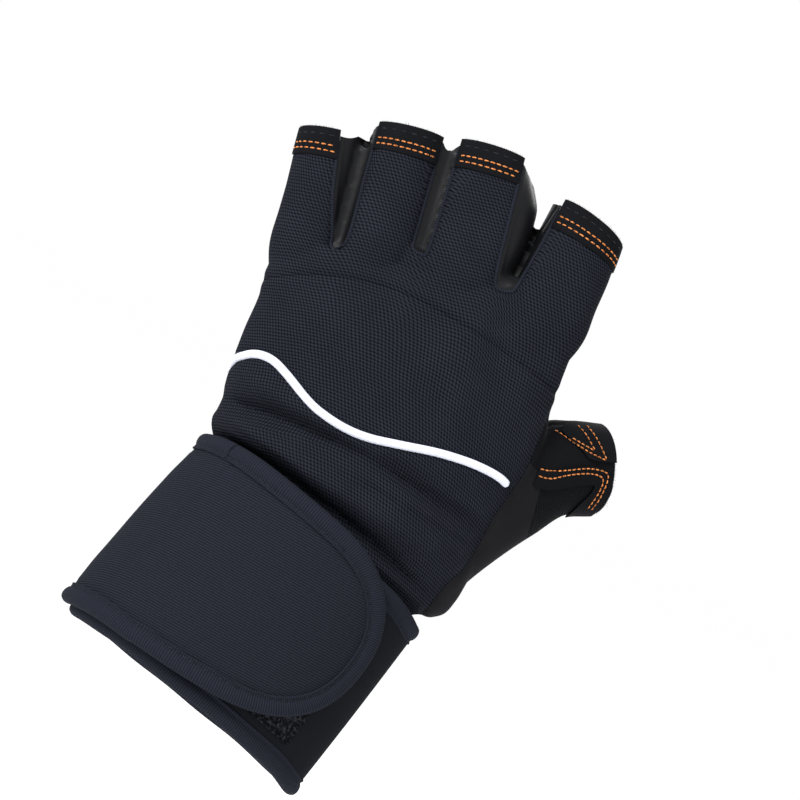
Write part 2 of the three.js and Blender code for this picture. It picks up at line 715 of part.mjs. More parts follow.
const overlayLayer = thumbTube(-seamGap - overlayWall)
  .subtract(thumbTube(-seamGap, 2 * overlayWall))
  .subtract(handBody(-seamGap))
  .subtract(palmCutter(seamGap))
  .subtract(thumbTube(fabricWall + 1));
const stripCutter = throughCutter(ribbonOutline(stripLine, stripWidth));
const stripClear = throughCutter(ribbonOutline(stripLine, stripWidth + 2 * seamGap));
panels.thumb_strip = { solid: overlayLayer.intersect(stripCutter).simplify(overlayDetail), look: 'leather' };
const patchCutter = throughCutter(patchOutline.map((point) => handPlace(...point)));
const patchSolid = overlayLayer.intersect(patchCutter).subtract(stripClear);
panels.thumb_patch = { solid: patchSolid.simplify(overlayDetail), look: 'leather' };

// Raised piping: a tube that lies half in the seam, found on the outer face point by point.
const bothSides = new THREE.MeshBasicMaterial({ side: THREE.DoubleSide });
const faceFinder = new THREE.Mesh(geometryOf(outerForm), bothSides);
faceFinder.updateMatrixWorld(true);

function faceHit(from, way) {
  const hits = new THREE.Raycaster(from, way).intersectObject(faceFinder);
  return hits.length > 0 ? hits[0].point : null;
}

const pipingSteps = 28;

function pipingTube(diameter, over) {
  const points = [];
  const endZ = pipingLine[0][1];
  for (const deep of [0.25, -0.12]) {
    const hit = faceHit(
      new THREE.Vector3(-farAway, handStart.y + deep * halfThick, endZ + (0.25 - deep) * pipingDiameter),
      new THREE.Vector3(1, 0, 0),
    );
    if (hit) points.push(hit);
  }
  for (const [x, z] of pipingLine.slice(2)) {
    const hit = faceHit(new THREE.Vector3(x, -farAway, z), new THREE.Vector3(0, 1, 0));
    if (hit) points.push(hit);
  }
  for (const [end, next] of [[0, 1], [points.length - 1, points.length - 2]]) {
    const way = points[end].clone().sub(points[next]).normalize();
    points[end].addScaledVector(way, over);
  }
  const curve = new THREE.CatmullRomCurve3(points);
  const section = new THREE.Shape();
  section.absarc(0, 0, diameter / 2, 0, Math.PI * 2);
  const geometry = new THREE.ExtrudeGeometry(section, {
    extrudePath: curve, steps: pipingSteps, bevelEnabled: false, curveSegments: aroundPiping / 2,
  });
  return solidFrom(geometry);
}

const pipingClear = pipingTube(pipingDiameter + 2 * seamGap, seamGap);
for (const name of ['back_panel', 'wrist_panel', 'palm_panel', 'side_gusset']) {
  panels[name].solid = panels[name].solid.subtract(pipingClear);
}
panels.seam_piping = { solid: pipingTube(pipingDiameter, 0), look: 'piping' };

// The cuff: a neoprene layer with a folded binding on both edges.
const bindingEdge = bindingWall + seamGap;

function edgeBinding(edge, inwards) {
  const outer = [seamGap, seamGap + bindingWall];
  const inner = [-cuffWall - seamGap, -cuffWall - seamGap - bindingWall];
  return bandLoft([
    [outer[1], edge],
    [outer[1], edge + inwards * bindingWidth],
    [outer[0], edge + inwards * bindingWidth],
    [outer[0], edge + inwards * bindingWall],
    [inner[0], edge + inwards * bindingWall],
    [inner[0], edge + inwards * bindingWidth],
    [inner[1], edge + inwards * bindingWidth],
    [inner[1], edge],
  ], cuffPoint);
}

panels.wrist_cuff = {
  solid: cuffLayer(-cuffWall, 0, bindingEdge, cuffHeight - bindingEdge),
  look: 'neoprene',
};
panels.cuff_binding_bottom = { solid: edgeBinding(0, 1), look: 'binding' };
panels.cuff_binding_top = { solid: edgeBinding(cuffHeight, -1), look: 'binding' };
panels.loop_pad = {
  solid: cuffLayer(seamGap, seamGap + padWall, padLift, padLift + padHeight).intersect(cuffCutter([
    [padEnd - padWidth, 0],
    [padEnd, 0],
    [padEnd, cuffHeight],
    [padEnd - padWidth, cuffHeight],
  ], -farAway, 0)),
  look: 'pad',
};

// The strap: a second layer from the palm round the little-finger side, with a round tongue on the back.
const strapInner = seamGap + Math.max(bindingWall, padWall) + seamGap;
const strapOuter = strapInner + strapWall;
const strapTop = strapLift + strapHeight;

function tongueOutline() {
  const shape = new THREE.Shape();
  const bottom = strapLift + tongueRise;
  shape.moveTo(-farAway, strapTop);
  shape.lineTo(-farAway, strapLift);
  shape.lineTo(tongueReach - 2.6 * tongueBottomRound, strapLift);
  shape.lineTo(tongueReach - tongueBottomRound, bottom);
  shape.absellipse(
    tongueReach - tongueBottomRound, bottom + tongueBottomRound, tongueBottomRound, tongueBottomRound,
    -Math.PI / 2, 0, false,
  );
  shape.absellipse(
    tongueReach - tongueTopRound, strapTop - tongueTopRound, tongueTopRound, tongueTopRound,
    0, Math.PI / 2, false,
  );
  const points = shape.getPoints(4);
  return points.filter((p, i) => i === 0 || p.distanceTo(points[i - 1]) > seamGap).map((p) => [p.x, p.y]);
}

const palmStrapOutline = [
  [-farAway, strapLift], [strapStart, strapLift], [strapStart, strapTop], [-farAway, strapTop],
];

function strapPart(inner, outer, shrink) {
  const layer = cuffLayer(inner, outer, strapLift - bindingWidth, strapTop + bindingWidth);
  const back = cuffCutter(grown(tongueOutline(), -shrink), -farAway, sideSeamDepth);
  const palm = cuffCutter(grown(palmStrapOutline, -shrink), sideSeamDepth / 2, farAway);
  return layer.intersect(back.add(palm));
}

panels.wrist_strap = { solid: strapPart(strapInner, strapOuter, bindingEdge), look: 'neoprene' };
panels.strap_binding = {
  solid: strapPart(strapInner, strapOuter + seamGap + bindingWall, 0)
    .subtract(strapPart(strapInner - seamGap, strapOuter + seamGap, bindingWall))
    .subtract(strapPart(strapInner - seamGap, strapOuter + 2 * bindingEdge, bindingWidth)),
  look: 'binding',
};

const palette = {
  knit: { color: 0x23252d, roughness: 0.9, metalness: 0 },
  leather: { color: 0x17181b, roughness: 0.6, metalness: 0 },
  smooth: { color: 0x111214, roughness: 0.35, metalness: 0 },
  neoprene: { color: 0x1d1f26, roughness: 0.85, metalness: 0 },
  binding: { color: 0x1b1d24, roughness: 0.9, metalness: 0 },
  piping: { color: 0xf2f4f8, roughness: 0.5, metalness: 0 },
  pad: { color: 0x121316, roughness: 1, metalness: 0 },
};

const cuffPieces = [
  'wrist_cuff', 'cuff_binding_bottom', 'cuff_binding_top', 'loop_pad', 'wrist_strap', 'strap_binding',
];
const group = new THREE.Group();
for (const [name, { solid, look }] of Object.entries(panels)) {
  const flat = geometryOf(mainBody(solid));
  const geometry = cuffPieces.includes(name) ? wornGeometry(flat) : flat;
  const mesh = new THREE.Mesh(geometry, new THREE.MeshStandardMaterial(palette[look]));
  mesh.name = name;
  group.add(mesh);
}

export default group;
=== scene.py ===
import sys
import json
import logging
import math
from dataclasses import dataclass, field
from enum import Enum
from typing import Sequence

import bpy
import numpy as np
from mathutils import Matrix, Vector
from mathutils.bvhtree import BVHTree

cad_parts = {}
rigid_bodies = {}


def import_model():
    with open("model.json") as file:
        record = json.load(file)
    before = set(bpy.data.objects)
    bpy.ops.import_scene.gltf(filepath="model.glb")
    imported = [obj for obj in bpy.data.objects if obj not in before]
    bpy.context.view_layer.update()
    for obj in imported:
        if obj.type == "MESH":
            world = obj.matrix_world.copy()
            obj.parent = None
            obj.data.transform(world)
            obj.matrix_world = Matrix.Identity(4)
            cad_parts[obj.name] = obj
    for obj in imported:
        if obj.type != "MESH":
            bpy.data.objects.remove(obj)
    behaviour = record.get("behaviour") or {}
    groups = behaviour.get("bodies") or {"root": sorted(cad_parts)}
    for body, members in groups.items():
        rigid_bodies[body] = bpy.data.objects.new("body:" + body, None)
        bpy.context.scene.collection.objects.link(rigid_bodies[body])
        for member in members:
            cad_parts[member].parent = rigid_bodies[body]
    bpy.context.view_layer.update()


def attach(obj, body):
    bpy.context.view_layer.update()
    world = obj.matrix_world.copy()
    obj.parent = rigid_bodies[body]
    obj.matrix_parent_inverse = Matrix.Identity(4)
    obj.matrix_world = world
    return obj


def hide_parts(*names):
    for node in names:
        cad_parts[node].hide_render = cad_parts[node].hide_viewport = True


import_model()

# Left-hand half-finger weightlifting glove: knit back, leather palm, neoprene cuff with a round-ended strap.
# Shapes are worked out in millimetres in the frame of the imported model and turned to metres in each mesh.
MM = 0.001
log = logging.getLogger("glove")

# Short names for types: arrays of points, mesh objects, and what materials are made of
Array = np.ndarray
Piece = bpy.types.Object
Tree = bpy.types.NodeTree
Socket = bpy.types.NodeSocket
Surface = tuple[Socket, Socket]
Input = Socket | float | Sequence[float]


class Cut(Enum):
    """What a cutter does to a piece."""

    KEEP = "INTERSECT"
    REMOVE = "DIFFERENCE"


class Digit(Enum):
    """The four half fingers, from the little one."""

    PINKY = "pinky"
    RING = "ring"
    MIDDLE = "middle"
    INDEX = "index"


# Helpers for numbers and curves

def smoothstep(x: Array, low: float, high: float) -> Array:
    """Smooth rise from 0 at low to 1 at high."""
    t = np.clip((np.asarray(x, float) - low) / (high - low), 0.0, 1.0)
    return t * t * (3 - 2 * t)


def turn(degrees: float) -> tuple[float, float]:
    """Cosine and sine of an angle in degrees."""
    return math.cos(math.radians(degrees)), math.sin(math.radians(degrees))


def unit(rows: Array) -> Array:
    """Directions of length one, one a row."""
    return rows / np.maximum(1e-9, np.linalg.norm(rows, axis=1))[:, None]


def lengths(points: Array) -> Array:
    """The length of a polyline up to each of its points."""
    return np.concatenate([[0.0], np.cumsum(np.linalg.norm(np.diff(points, axis=0), axis=1))])


def run_of(seen: Array) -> Array:
    """The numbers of the points that are seen on a ring, in one run."""
    order = (np.arange(len(seen)) + int(np.argmin(seen))) % len(seen)
    return order[seen[order]]


def resampled(points: Array, pitch: float) -> Array:
    """Points at an even pitch along a polyline.

    Args:
        points: The polyline's points, one a row.
        pitch: The wanted distance between points.

    Returns:
        The new points, both ends among them.
    """
    along = lengths(points)
    count = max(2, int(round(along[-1] / pitch)) + 1)
    at = np.linspace(0, along[-1], count)
    return np.stack([np.interp(at, along, points[:, k]) for k in range(points.shape[1])], axis=1)


def through(points: Sequence[Sequence[float]], pitch: float = 0.8) -> Array:
    """A smooth curve through a few points, as a polyline.

    Args:
        points: The points, in two or three coordinates.
        pitch: The distance between the polyline's points.

    Returns:
        The polyline.
    """
    p = np.asarray(points, float)
    p = np.vstack([2 * p[0] - p[1], p, 2 * p[-1] - p[-2]])
    out = []
    for i in range(1, len(p) - 2):
        t = np.linspace(0, 1, 12, endpoint=False)[:, None]
        a, b, c, d = p[i - 1], p[i], p[i + 1], p[i + 2]
        out.append(0.5 * (2 * b + (c - a) * t + (2 * a - 5 * b + 4 * c - d) * t ** 2
                          + (3 * b - a - 3 * c + d) * t ** 3))
    out.append(p[-2:-1])
    return resampled(np.vstack(out), pitch)


def eased(points: Array, normals: Array, pitch: float) -> tuple[Array, Array]:
    """A smooth curve through points, with its normals."""
    both = through(np.hstack([points, normals]), pitch)
    return both[:, :3], unit(both[:, 3:])


def between(stations: list[Array], pitch: float) -> list[Array]:
    """Rings in between a few given ones, on curves that don't overshoot.

    Args:
        stations: The given rings, each an array of points.
        pitch: The wanted distance between rings.

    Returns:
        The rings, the given ends among them.
    """
    rings = np.stack(stations)
    gaps = np.maximum(0.2, np.linalg.norm(np.diff(rings, axis=0), axis=2).mean(axis=1))
    x = np.concatenate([[0.0], np.cumsum(gaps)])
    slopes = np.diff(rings, axis=0) / gaps[:, None, None]
    tangents = np.zeros_like(rings)
    before, after = slopes[:-1], slopes[1:]
    same = before * after > 0
    tangents[1:-1] = np.where(same, 2 * before * after / np.where(same, before + after, 1), 0)
    tangents[0], tangents[-1] = slopes[0], slopes[-1]
    out = []
    for at in np.linspace(0, x[-1], max(3, int(x[-1] / pitch))):
        i = min(len(gaps) - 1, int(np.searchsorted(x, at, side="right")) - 1)
        t, h = (at - x[i]) / gaps[i], gaps[i]
        out.append((2 * t ** 3 - 3 * t ** 2 + 1) * rings[i] + (t ** 3 - 2 * t ** 2 + t) * h * tangents[i]
                   + (3 * t ** 2 - 2 * t ** 3) * rings[i + 1] + (t ** 3 - t ** 2) * h * tangents[i + 1])
    return out


def line_distance(points: Array, line: Array) -> Array:
    """Distance of each point from a polyline, both in two coordinates.

    Args:
        points: The points, one a row.
        line: The polyline's points, one a row.

    Returns:
        One distance a point.
    """
    best = np.full(len(points), 1e9)
    for a, b in zip(line[:-1], line[1:]):
        way = b - a
        t = np.clip(((points - a) @ way) / max(1e-9, way @ way), 0, 1)
        best = np.minimum(best, np.linalg.norm(points - a - t[:, None] * way, axis=1))
    return best


def inside(points: Array, outline: Array) -> Array:
    """Whether each point is within a closed outline, both in two coordinates.

    Args:
        points: The points, one a row.
        outline: The outline's points, one a row.

    Returns:
        One truth value a point.
    """
    odd = np.zeros(len(points), bool)
    for (x0, y0), (x1, y1) in zip(outline, np.roll(outline, -1, axis=0)):
        crosses = (y0 > points[:, 1]) != (y1 > points[:, 1])
        edge = x0 + (points[:, 1] - y0) * (x1 - x0) / (y1 - y0 if y1 != y0 else 1e-9)
        odd ^= crosses & (points[:, 0] < edge)
    return odd


def grown(outline: Array, distance: float) -> Array:
    """A closed outline moved outwards by a distance, or inwards where it is negative.

    Args:
        outline: The outline's points, one a row.
        distance: How far it moves.

    Returns:
        The moved outline.
    """
    before, after = np.roll(outline, 1, axis=0), np.roll(outline, -1, axis=0)
    way = unit(after - before)
    area = np.sum(outline[:, 0] * after[:, 1] - after[:, 0] * outline[:, 1])
    return outline + np.sign(area) * distance * np.stack([way[:, 1], -way[:, 0]], axis=1)


# Helpers for meshes

def only(*objects: Piece) -> None:
    """Selects these objects alone; the first is the active one.

    Args:
        *objects: What to select.
    """
    for other in bpy.context.selected_objects:
        other.select_set(False)
    for one in objects:
        one.select_set(True)
    bpy.context.view_layer.objects.active = objects[0]


def piece_of(name: str, vertices: Array, faces: Sequence[Sequence[int]]) -> Piece:
    """A new object from vertices in millimetres.

    Args:
        name: The object's name.
        vertices: The vertices, one a row.
        faces: The faces, as lists of vertex numbers.

    Returns:
        The object, at the origin, in metres.
    """
    mesh = bpy.data.meshes.new(name)
    mesh.from_pydata((np.asarray(vertices) * MM).tolist(), [], [list(map(int, f)) for f in faces])
    mesh.validate()
    made = bpy.data.objects.new(name, mesh)
    bpy.context.scene.collection.objects.link(made)
    return made


def points_of(piece: Piece) -> Array:
    """The vertices of a piece, in millimetres.

    Args:
        piece: Any mesh object.

    Returns:
        One vertex a row.
    """
    flat = np.empty(len(piece.data.vertices) * 3)
    piece.data.vertices.foreach_get("co", flat)
    return flat.reshape(-1, 3) / MM


def move_points(piece: Piece, points: Array) -> None:
    """Puts the vertices of a piece at new places, in millimetres."""
    piece.data.vertices.foreach_set("co", (points * MM).ravel())
    piece.data.update()


def normals_of(piece: Piece) -> Array:
    """The vertex normals of a piece.

    Args:
        piece: Any mesh object.

    Returns:
        One normal a row.
    """
    flat = np.empty(len(piece.data.vertices) * 3)
    piece.data.vertex_normals.foreach_get("vector", flat)
    return flat.reshape(-1, 3)


def ring_faces(rings: int, count: int, closed: bool = False) -> list[tuple[int, int, int, int]]:
    """Faces between rings of as many points.

    Args:
        rings: How many rings there are.
        count: How many points a ring has.
        closed: Whether the last ring joins the first.

    Returns:
        The faces.
    """
    faces = []
    for r in range(rings if closed else rings - 1):
        nxt = (r + 1) % rings
        for i in range(count):
            j = (i + 1) % count
            faces.append((r * count + i, r * count + j, nxt * count + j, nxt * count + i))
    return faces


def loft(name: str, rings: list[Array]) -> Piece:
    """A closed piece through rings, with a flat face at both ends.

    Args:
        name: The new piece's name.
        rings: Rings with the same number of points.

    Returns:
        The closed piece.
    """
    count = len(rings[0])
    faces: list[Sequence[int]] = list(ring_faces(len(rings), count))
    last = (len(rings) - 1) * count
    faces.append(range(count - 1, -1, -1))
    faces.append(range(last, last + count))
    made = piece_of(name, np.vstack(rings), faces)
    turned_out(made)
    return made


def turned_out(piece: Piece) -> None:
    """Makes all faces of a closed piece point outwards.

    Args:
        piece: The closed piece.
    """
    only(piece)
    bpy.ops.object.mode_set(mode="EDIT")
    bpy.ops.mesh.select_all(action="SELECT")
    bpy.ops.mesh.normals_make_consistent(inside=False)
    bpy.ops.object.mode_set(mode="OBJECT")


def prism(outline: Array, near: float = -120.0, far: float = 120.0) -> Piece:
    """A cutter: an outline of x and z, pushed along y from near to far.

    Args:
        outline: The outline in x and z.
        near: Where it starts in y.
        far: Where it ends in y.

    Returns:
        The cutter.
    """
    front = np.stack([outline[:, 0], np.full(len(outline), near), outline[:, 1]], axis=1)
    return loft("cutter", [front, front + [0, far - near, 0]])


def cut(piece: Piece, cutter: Piece, way: Cut, keep_cutter: bool = False) -> None:
    """Cuts a closed piece with another.

    Args:
        piece: The piece that is cut.
        cutter: The closed cutter.
        way: What is kept of the piece.
        keep_cutter: Whether the cutter is used again.
    """
    only(piece)
    modifier = piece.modifiers.new("Cut", "BOOLEAN")
    modifier.operation = way.value
    modifier.solver = "MANIFOLD"
    modifier.object = cutter
    bpy.ops.object.modifier_apply(modifier="Cut")
    if not keep_cutter:
        drop(cutter)


def drop(piece: Piece) -> None:
    """Deletes a helper piece.

    Args:
        piece: The piece to delete.
    """
    mesh = piece.data
    bpy.data.objects.remove(piece)
    bpy.data.meshes.remove(mesh)


def copy_of(piece: Piece, name: str) -> Piece:
    """A copy of a piece with its own mesh.

    Args:
        piece: What to copy.
        name: The copy's name.

    Returns:
        The copy.
    """
    made = piece.copy()
    made.data = piece.data.copy()
    made.name = made.data.name = name
    bpy.context.scene.collection.objects.link(made)
    return made


def fused(name: str, parts: list[Piece], voxel: float) -> Piece:
    """Joins overlapping closed pieces into one skin.

    Args:
        name: The new piece's name.
        parts: The pieces, which are used up.
        voxel: The size of the new mesh's squares in millimetres.

    Returns:
        The skin.
    """
    only(*parts)
    bpy.ops.object.join()
    whole = bpy.context.view_layer.objects.active
    whole.name = whole.data.name = name
    whole.data.remesh_voxel_size = voxel * MM
    bpy.ops.object.voxel_remesh()
    modifier = whole.modifiers.new("Ease", "SMOOTH")
    modifier.factor = 0.5
    modifier.iterations = 4
    bpy.ops.object.modifier_apply(modifier="Ease")
    return whole


def set_flow(piece: Piece, flow: Array) -> None:
    """Stores where each vertex lies in the flat cloth, in metres, for the weave.

    Args:
        piece: The piece of cloth.
        flow: Two coordinates a vertex, in millimetres.
    """
    layer = piece.data.attributes.new("flow", "FLOAT_VECTOR", "POINT")
    full = np.zeros((len(piece.data.vertices), 3))
    full[:, :2] = flow * MM
    layer.data.foreach_set("vector", full.ravel())


def smooth_look(piece: Piece, angle: float = 40) -> None:
    """Smooth shading with sharp edges where faces meet at more than an angle."""
    only(piece)
    bpy.ops.object.shade_smooth_by_angle(angle=math.radians(angle))


def dress(piece: Piece, material: bpy.types.Material,
          nodes: Sequence[str] = ()) -> None:
    """Gives a piece its finish and its place in the model.

    Args:
        piece: The piece.
        material: Its material.
        nodes: The nodes it stands for.
    """
    piece.data.materials.clear()
    piece.data.materials.append(material)
    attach(piece, "root")
    if nodes:
        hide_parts(*nodes)
    log.info("%s: %d faces", piece.name, len(piece.data.polygons))


def swept(name: str, path: Array, normals: Array, profile: Array, taper: float = 0.0
          ) -> Piece:
    """A profile drawn along a path.

    Args:
        name: The piece's name.
        path: The path's points.
        normals: The direction that is up at each point.
        profile: A closed loop of sideways and up distances.
        taper: Over what distance both ends are rounded off.

    Returns:
        The piece.
    """
    ways = unit(np.gradient(path, axis=0))
    sides = unit(np.cross(ways, normals))
    ups = np.cross(sides, ways)
    along = lengths(path)
    rings = []
    for i, point in enumerate(path):
        scale = 1.0
        if taper > 0:
            end = min(along[i], along[-1] - along[i]) / taper
            scale = math.sqrt(max(0.02, 1 - (1 - min(1.0, end)) ** 2))
        rings.append(point + scale * (profile[:, :1] * sides[i] + profile[:, 1:] * ups[i]))
    made = loft(name, rings)
    flow = np.repeat(along, len(profile))
    around = np.tile(np.linspace(0, 2 * math.pi * np.abs(profile).max(), len(profile)), len(path))
    set_flow(made, np.stack([flow, around], axis=1))
    return made


def round_profile(width: float, height: float, count: int = 12) -> Array:
    """An oval profile of a width and height."""
    angle = np.arange(count) / count * 2 * math.pi
    return np.stack([np.cos(angle) * width / 2, np.sin(angle) * height / 2], axis=1)


# Finishes

def linear(colour: str) -> tuple[float, float, float, float]:
    """The linear colour of an sRGB hex value."""
    parts = [int(colour[i:i + 2], 16) / 255 for i in (0, 2, 4)]
    return tuple(c / 12.92 if c <= 0.04045 else ((c + 0.055) / 1.055) ** 2.4 for c in parts) + (1.0,)


def add_node(tree: Tree, kind: str, links: dict | None = None, **settings: str) -> bpy.types.Node:
    """Adds a node with its settings and links.

    Args:
        tree: The material's nodes.
        kind: The node's type.
        links: What goes into each socket, a value or another node's socket.
        **settings: The node's properties.

    Returns:
        The node.
    """
    node = tree.nodes.new(kind)
    for key, value in settings.items():
        setattr(node, key, value)
    for socket, value in (links or {}).items():
        if isinstance(value, Socket):
            tree.links.new(value, node.inputs[socket])
        else:
            node.inputs[socket].default_value = value
    return node


def maths(tree: Tree, operation: str, *values: Input) -> Socket:
    """The result of a sum on numbers or sockets."""
    return add_node(tree, "ShaderNodeMath", dict(enumerate(values)), operation=operation).outputs[0]


def blended(tree: Tree, share: Input, first: Input, second: Input) -> Socket:
    """A colour between two, by a share from 0 to 1."""
    node = add_node(tree, "ShaderNodeMix", {0: share, 6: first, 7: second}, data_type="RGBA")
    return node.outputs[2]


def remapped(tree: Tree, value: Input, low: float, high: float, to_low: float = 0.0,
             to_high: float = 1.0) -> Socket:
    """A value's range mapped to another one."""
    links = {0: value, 1: low, 2: high, 3: to_low, 4: to_high}
    return add_node(tree, "ShaderNodeMapRange", links, interpolation_type="SMOOTHSTEP").outputs[0]


@dataclass(frozen=True)
class Finish:
    """What all finishes share: a name, two colours, gloss and relief."""

    name: str
    light: str
    dark: str
    roughness: float = 0.85
    specular: float = 0.2
    relief_mm: float = 0.12

    def material(self) -> bpy.types.Material:
        """The finish as a material.

        Returns:
            The material, under the name of the finish.
        """
        made = bpy.data.materials.new(self.name)
        made.use_nodes = True
        tree = made.node_tree
        tree.nodes.clear()
        height, colour = self.surface(tree)
        relief = {"Height": height, "Distance": self.relief_mm * MM, "Strength": 1.0}
        bump = add_node(tree, "ShaderNodeBump", relief)
        links = {
            "Base Color": colour, "Roughness": self.roughness, "Specular IOR Level": self.specular,
            "Normal": bump.outputs[0],
        }
        shader = add_node(tree, "ShaderNodeBsdfPrincipled", links)
        add_node(tree, "ShaderNodeOutputMaterial", {0: shader.outputs[0]})
        return made

    def place(self, tree: Tree) -> Socket:
        """Object coordinates, for patterns with no direction."""
        return add_node(tree, "ShaderNodeTexCoord").outputs["Object"]

    def noise(self, tree: Tree, size_mm: float, detail: float = 2.0) -> Socket:
        """Noise with blotches of a size in millimetres."""
        links = {"Vector": self.place(tree), "Scale": 1000 / size_mm, "Detail": detail}
        return add_node(tree, "ShaderNodeTexNoise", links).outputs[0]

    def cells(self, tree: Tree, wide_mm: float, tall_mm: float, slant: float, full: float
              ) -> Socket:
        """Rows of slanted oval loops in the flat cloth, each row half a loop further on.

        Args:
            tree: The material's nodes.
            wide_mm: The pitch of loops in a row.
            tall_mm: The pitch of rows.
            slant: How far a loop leans, in loops a row.
            full: How much of its cell a loop fills.

        Returns:
            The height, from 0 in the gaps to 1 on the loops.
        """
        flow = add_node(tree, "ShaderNodeAttribute", attribute_name="flow").outputs["Vector"]
        wander = add_node(tree, "ShaderNodeVectorMath", {
            0: add_node(tree, "ShaderNodeTexNoise", {
                "Vector": self.place(tree), "Scale": 1000 / (5 * wide_mm), "Detail": 1.0}).outputs["Color"],
            "Scale": 0.5 * wide_mm * MM}, operation="SCALE").outputs[0]
        moved = add_node(tree, "ShaderNodeVectorMath", {0: flow, 1: wander}).outputs[0]
        parts = add_node(tree, "ShaderNodeSeparateXYZ", {0: moved})
        across = maths(tree, "MULTIPLY", parts.outputs[0], 1000 / wide_mm)
        up = maths(tree, "MULTIPLY", parts.outputs[1], 1000 / tall_mm)
        row = maths(tree, "FLOOR", up)
        level = maths(tree, "SUBTRACT", maths(tree, "FRACT", up), 0.5)
        leaned = maths(tree, "MULTIPLY_ADD", level, slant, maths(tree, "MULTIPLY_ADD", row, 0.5, across))
        side = maths(tree, "SUBTRACT", maths(tree, "FRACT", leaned), 0.5)
        square = maths(tree, "MULTIPLY_ADD", side, side, maths(tree, "MULTIPLY", level, level))
        return remapped(tree, square, (0.62 * full) ** 2, (0.2 * full) ** 2)

    def surface(self, tree: Tree) -> Surface:
        """The height and colour of the surface."""
        grain = self.noise(tree, 0.6)
        return grain, blended(tree, grain, linear(self.dark), linear(self.light))


@dataclass(frozen=True)
class LoopCloth(Finish):
    """Cloth of visible loops: the knit, and the smoother side of neoprene."""

    wide_mm: float = 1.2
    tall_mm: float = 1.05
    slant: float = 0.6
    full: float = 1.0

    def surface(self, tree: Tree) -> Surface:
        """Loops with a painted highlight over gaps darkened as painted shade, with yarn that varies from
        place to place.

        Args:
            tree: The material's nodes.

        Returns:
            Height and colour.
        """
        loops = self.cells(tree, self.wide_mm, self.tall_mm, self.slant, self.full)
        fuzz = self.noise(tree, 0.35, 3.0)
        patches = remapped(tree, self.noise(tree, 14.0), 0.35, 0.7, 0.86, 1.0)
        # The loops take the pale colour as a painted highlight and the gaps the dark one as painted shade
        share = maths(tree, "MULTIPLY", maths(tree, "MULTIPLY_ADD", fuzz, 0.35, loops), patches)
        share = maths(tree, "MULTIPLY", share, 0.8)
        colour = blended(tree, share, linear(self.dark), linear(self.light))
        height = maths(tree, "MULTIPLY_ADD", fuzz, 0.25, loops)
        return height, colour


@dataclass(frozen=True)
class Leather(Finish):
    """Synthetic leather: a pebbled or brushed film on a cloth backing."""

    grain_mm: float = 0.45
    crease_mm: float = 9.0

    def surface(self, tree: Tree) -> Surface:
        """Fine pebbles, with soft creases and paler rubbed places.

        Args:
            tree: The material's nodes.

        Returns:
            Height and colour.
        """
        links = {"Vector": self.place(tree), "Scale": 1000 / self.grain_mm}
        pebbles = add_node(tree, "ShaderNodeTexVoronoi", links, feature="SMOOTH_F1").outputs[0]
        nap = self.noise(tree, self.grain_mm * 0.7, 4.0)
        crease = self.noise(tree, self.crease_mm, 4.0)
        rubbed = remapped(tree, crease, 0.4, 0.75)
        share = maths(tree, "MULTIPLY_ADD", rubbed, 0.25, maths(tree, "MULTIPLY", nap, 0.7))
        colour = blended(tree, share, linear(self.dark), linear(self.light))
        height = maths(tree, "MULTIPLY_ADD", crease, 2.0, maths(tree, "ADD", pebbles, nap))
        return height, colour


@dataclass(frozen=True)
class RibbedCloth(Finish):
    """Cloth or tape with fine ribs."""

    pitch_mm: float = 0.85
    lean: float = 28.0
    laid: bool = False
    lint: bool = False

    def surface(self, tree: Tree) -> Surface:
        """Parallel ribs, paler on top as painted highlight and darker in the grooves as painted shade, broken
        up by the yarn.

        Args:
            tree: The material's nodes.

        Returns:
            Height and colour.
        """
        c, s = turn(self.lean)
        flow = add_node(tree, "ShaderNodeAttribute", attribute_name="flow").outputs["Vector"]
        links = {0: flow, 1: (c, s, 0)} if self.laid else {0: self.place(tree), 1: (c, 0.25, s)}
        way = add_node(tree, "ShaderNodeVectorMath", links, operation="DOT_PRODUCT").outputs["Value"]
        wander = maths(tree, "MULTIPLY", self.noise(tree, 6.0), 1.2)
        angle = maths(tree, "MULTIPLY_ADD", way, 2000 * math.pi / self.pitch_mm, wander)
        ribs = remapped(tree, maths(tree, "SINE", angle), -0.8, 0.9)
        fuzz = self.noise(tree, 0.4, 3.0)
        share = maths(tree, "MULTIPLY", maths(tree, "ADD", ribs, fuzz), 0.5)
        # The rib tops take the pale colour as a painted highlight and the grooves the dark one as painted
        # shade
        colour = blended(tree, share, linear(self.dark), linear(self.light))
        if self.lint:
            spots = add_node(tree, "ShaderNodeTexVoronoi", {"Vector": self.place(tree), "Scale": 90.0})
            near = remapped(tree, spots.outputs["Distance"], 0.055, 0.025)
            rare = add_node(tree, "ShaderNodeSeparateXYZ", {0: spots.outputs["Color"]}).outputs[0]
            fleck = maths(tree, "MULTIPLY", near, maths(tree, "GREATER_THAN", rare, 0.82))
            colour = blended(tree, fleck, colour, linear("AEB4C0"))
        return maths(tree, "ADD", ribs, fuzz), colour


@dataclass(frozen=True)
class Pile(Finish):
    """The loop side of a hook-and-loop closure."""

    def surface(self, tree: Tree) -> Surface:
        """Tangled loops of fine yarn.

        Args:
            tree: The material's nodes.

        Returns:
            Height and colour.
        """
        tangle = self.noise(tree, 0.9, 5.0)
        share = remapped(tree, tangle, 0.42, 0.66)
        return share, blended(tree, share, linear(self.dark), linear(self.light))


@dataclass(frozen=True)
class Thread(Finish):
    """Sewing thread: two plies twisted, with a painted highlight on top of each twist."""

    def surface(self, tree: Tree) -> Surface:
        """Blotches the size of a ply, painted as highlight on the pale ones and shade on the dark ones, as
        the twist is too fine to show.
        """
        ply = self.noise(tree, 0.5, 2.0)
        # Pale blotches are a painted highlight on the plies and dark ones painted shade
        return ply, blended(tree, remapped(tree, ply, 0.35, 0.62), linear(self.dark), linear(self.light))


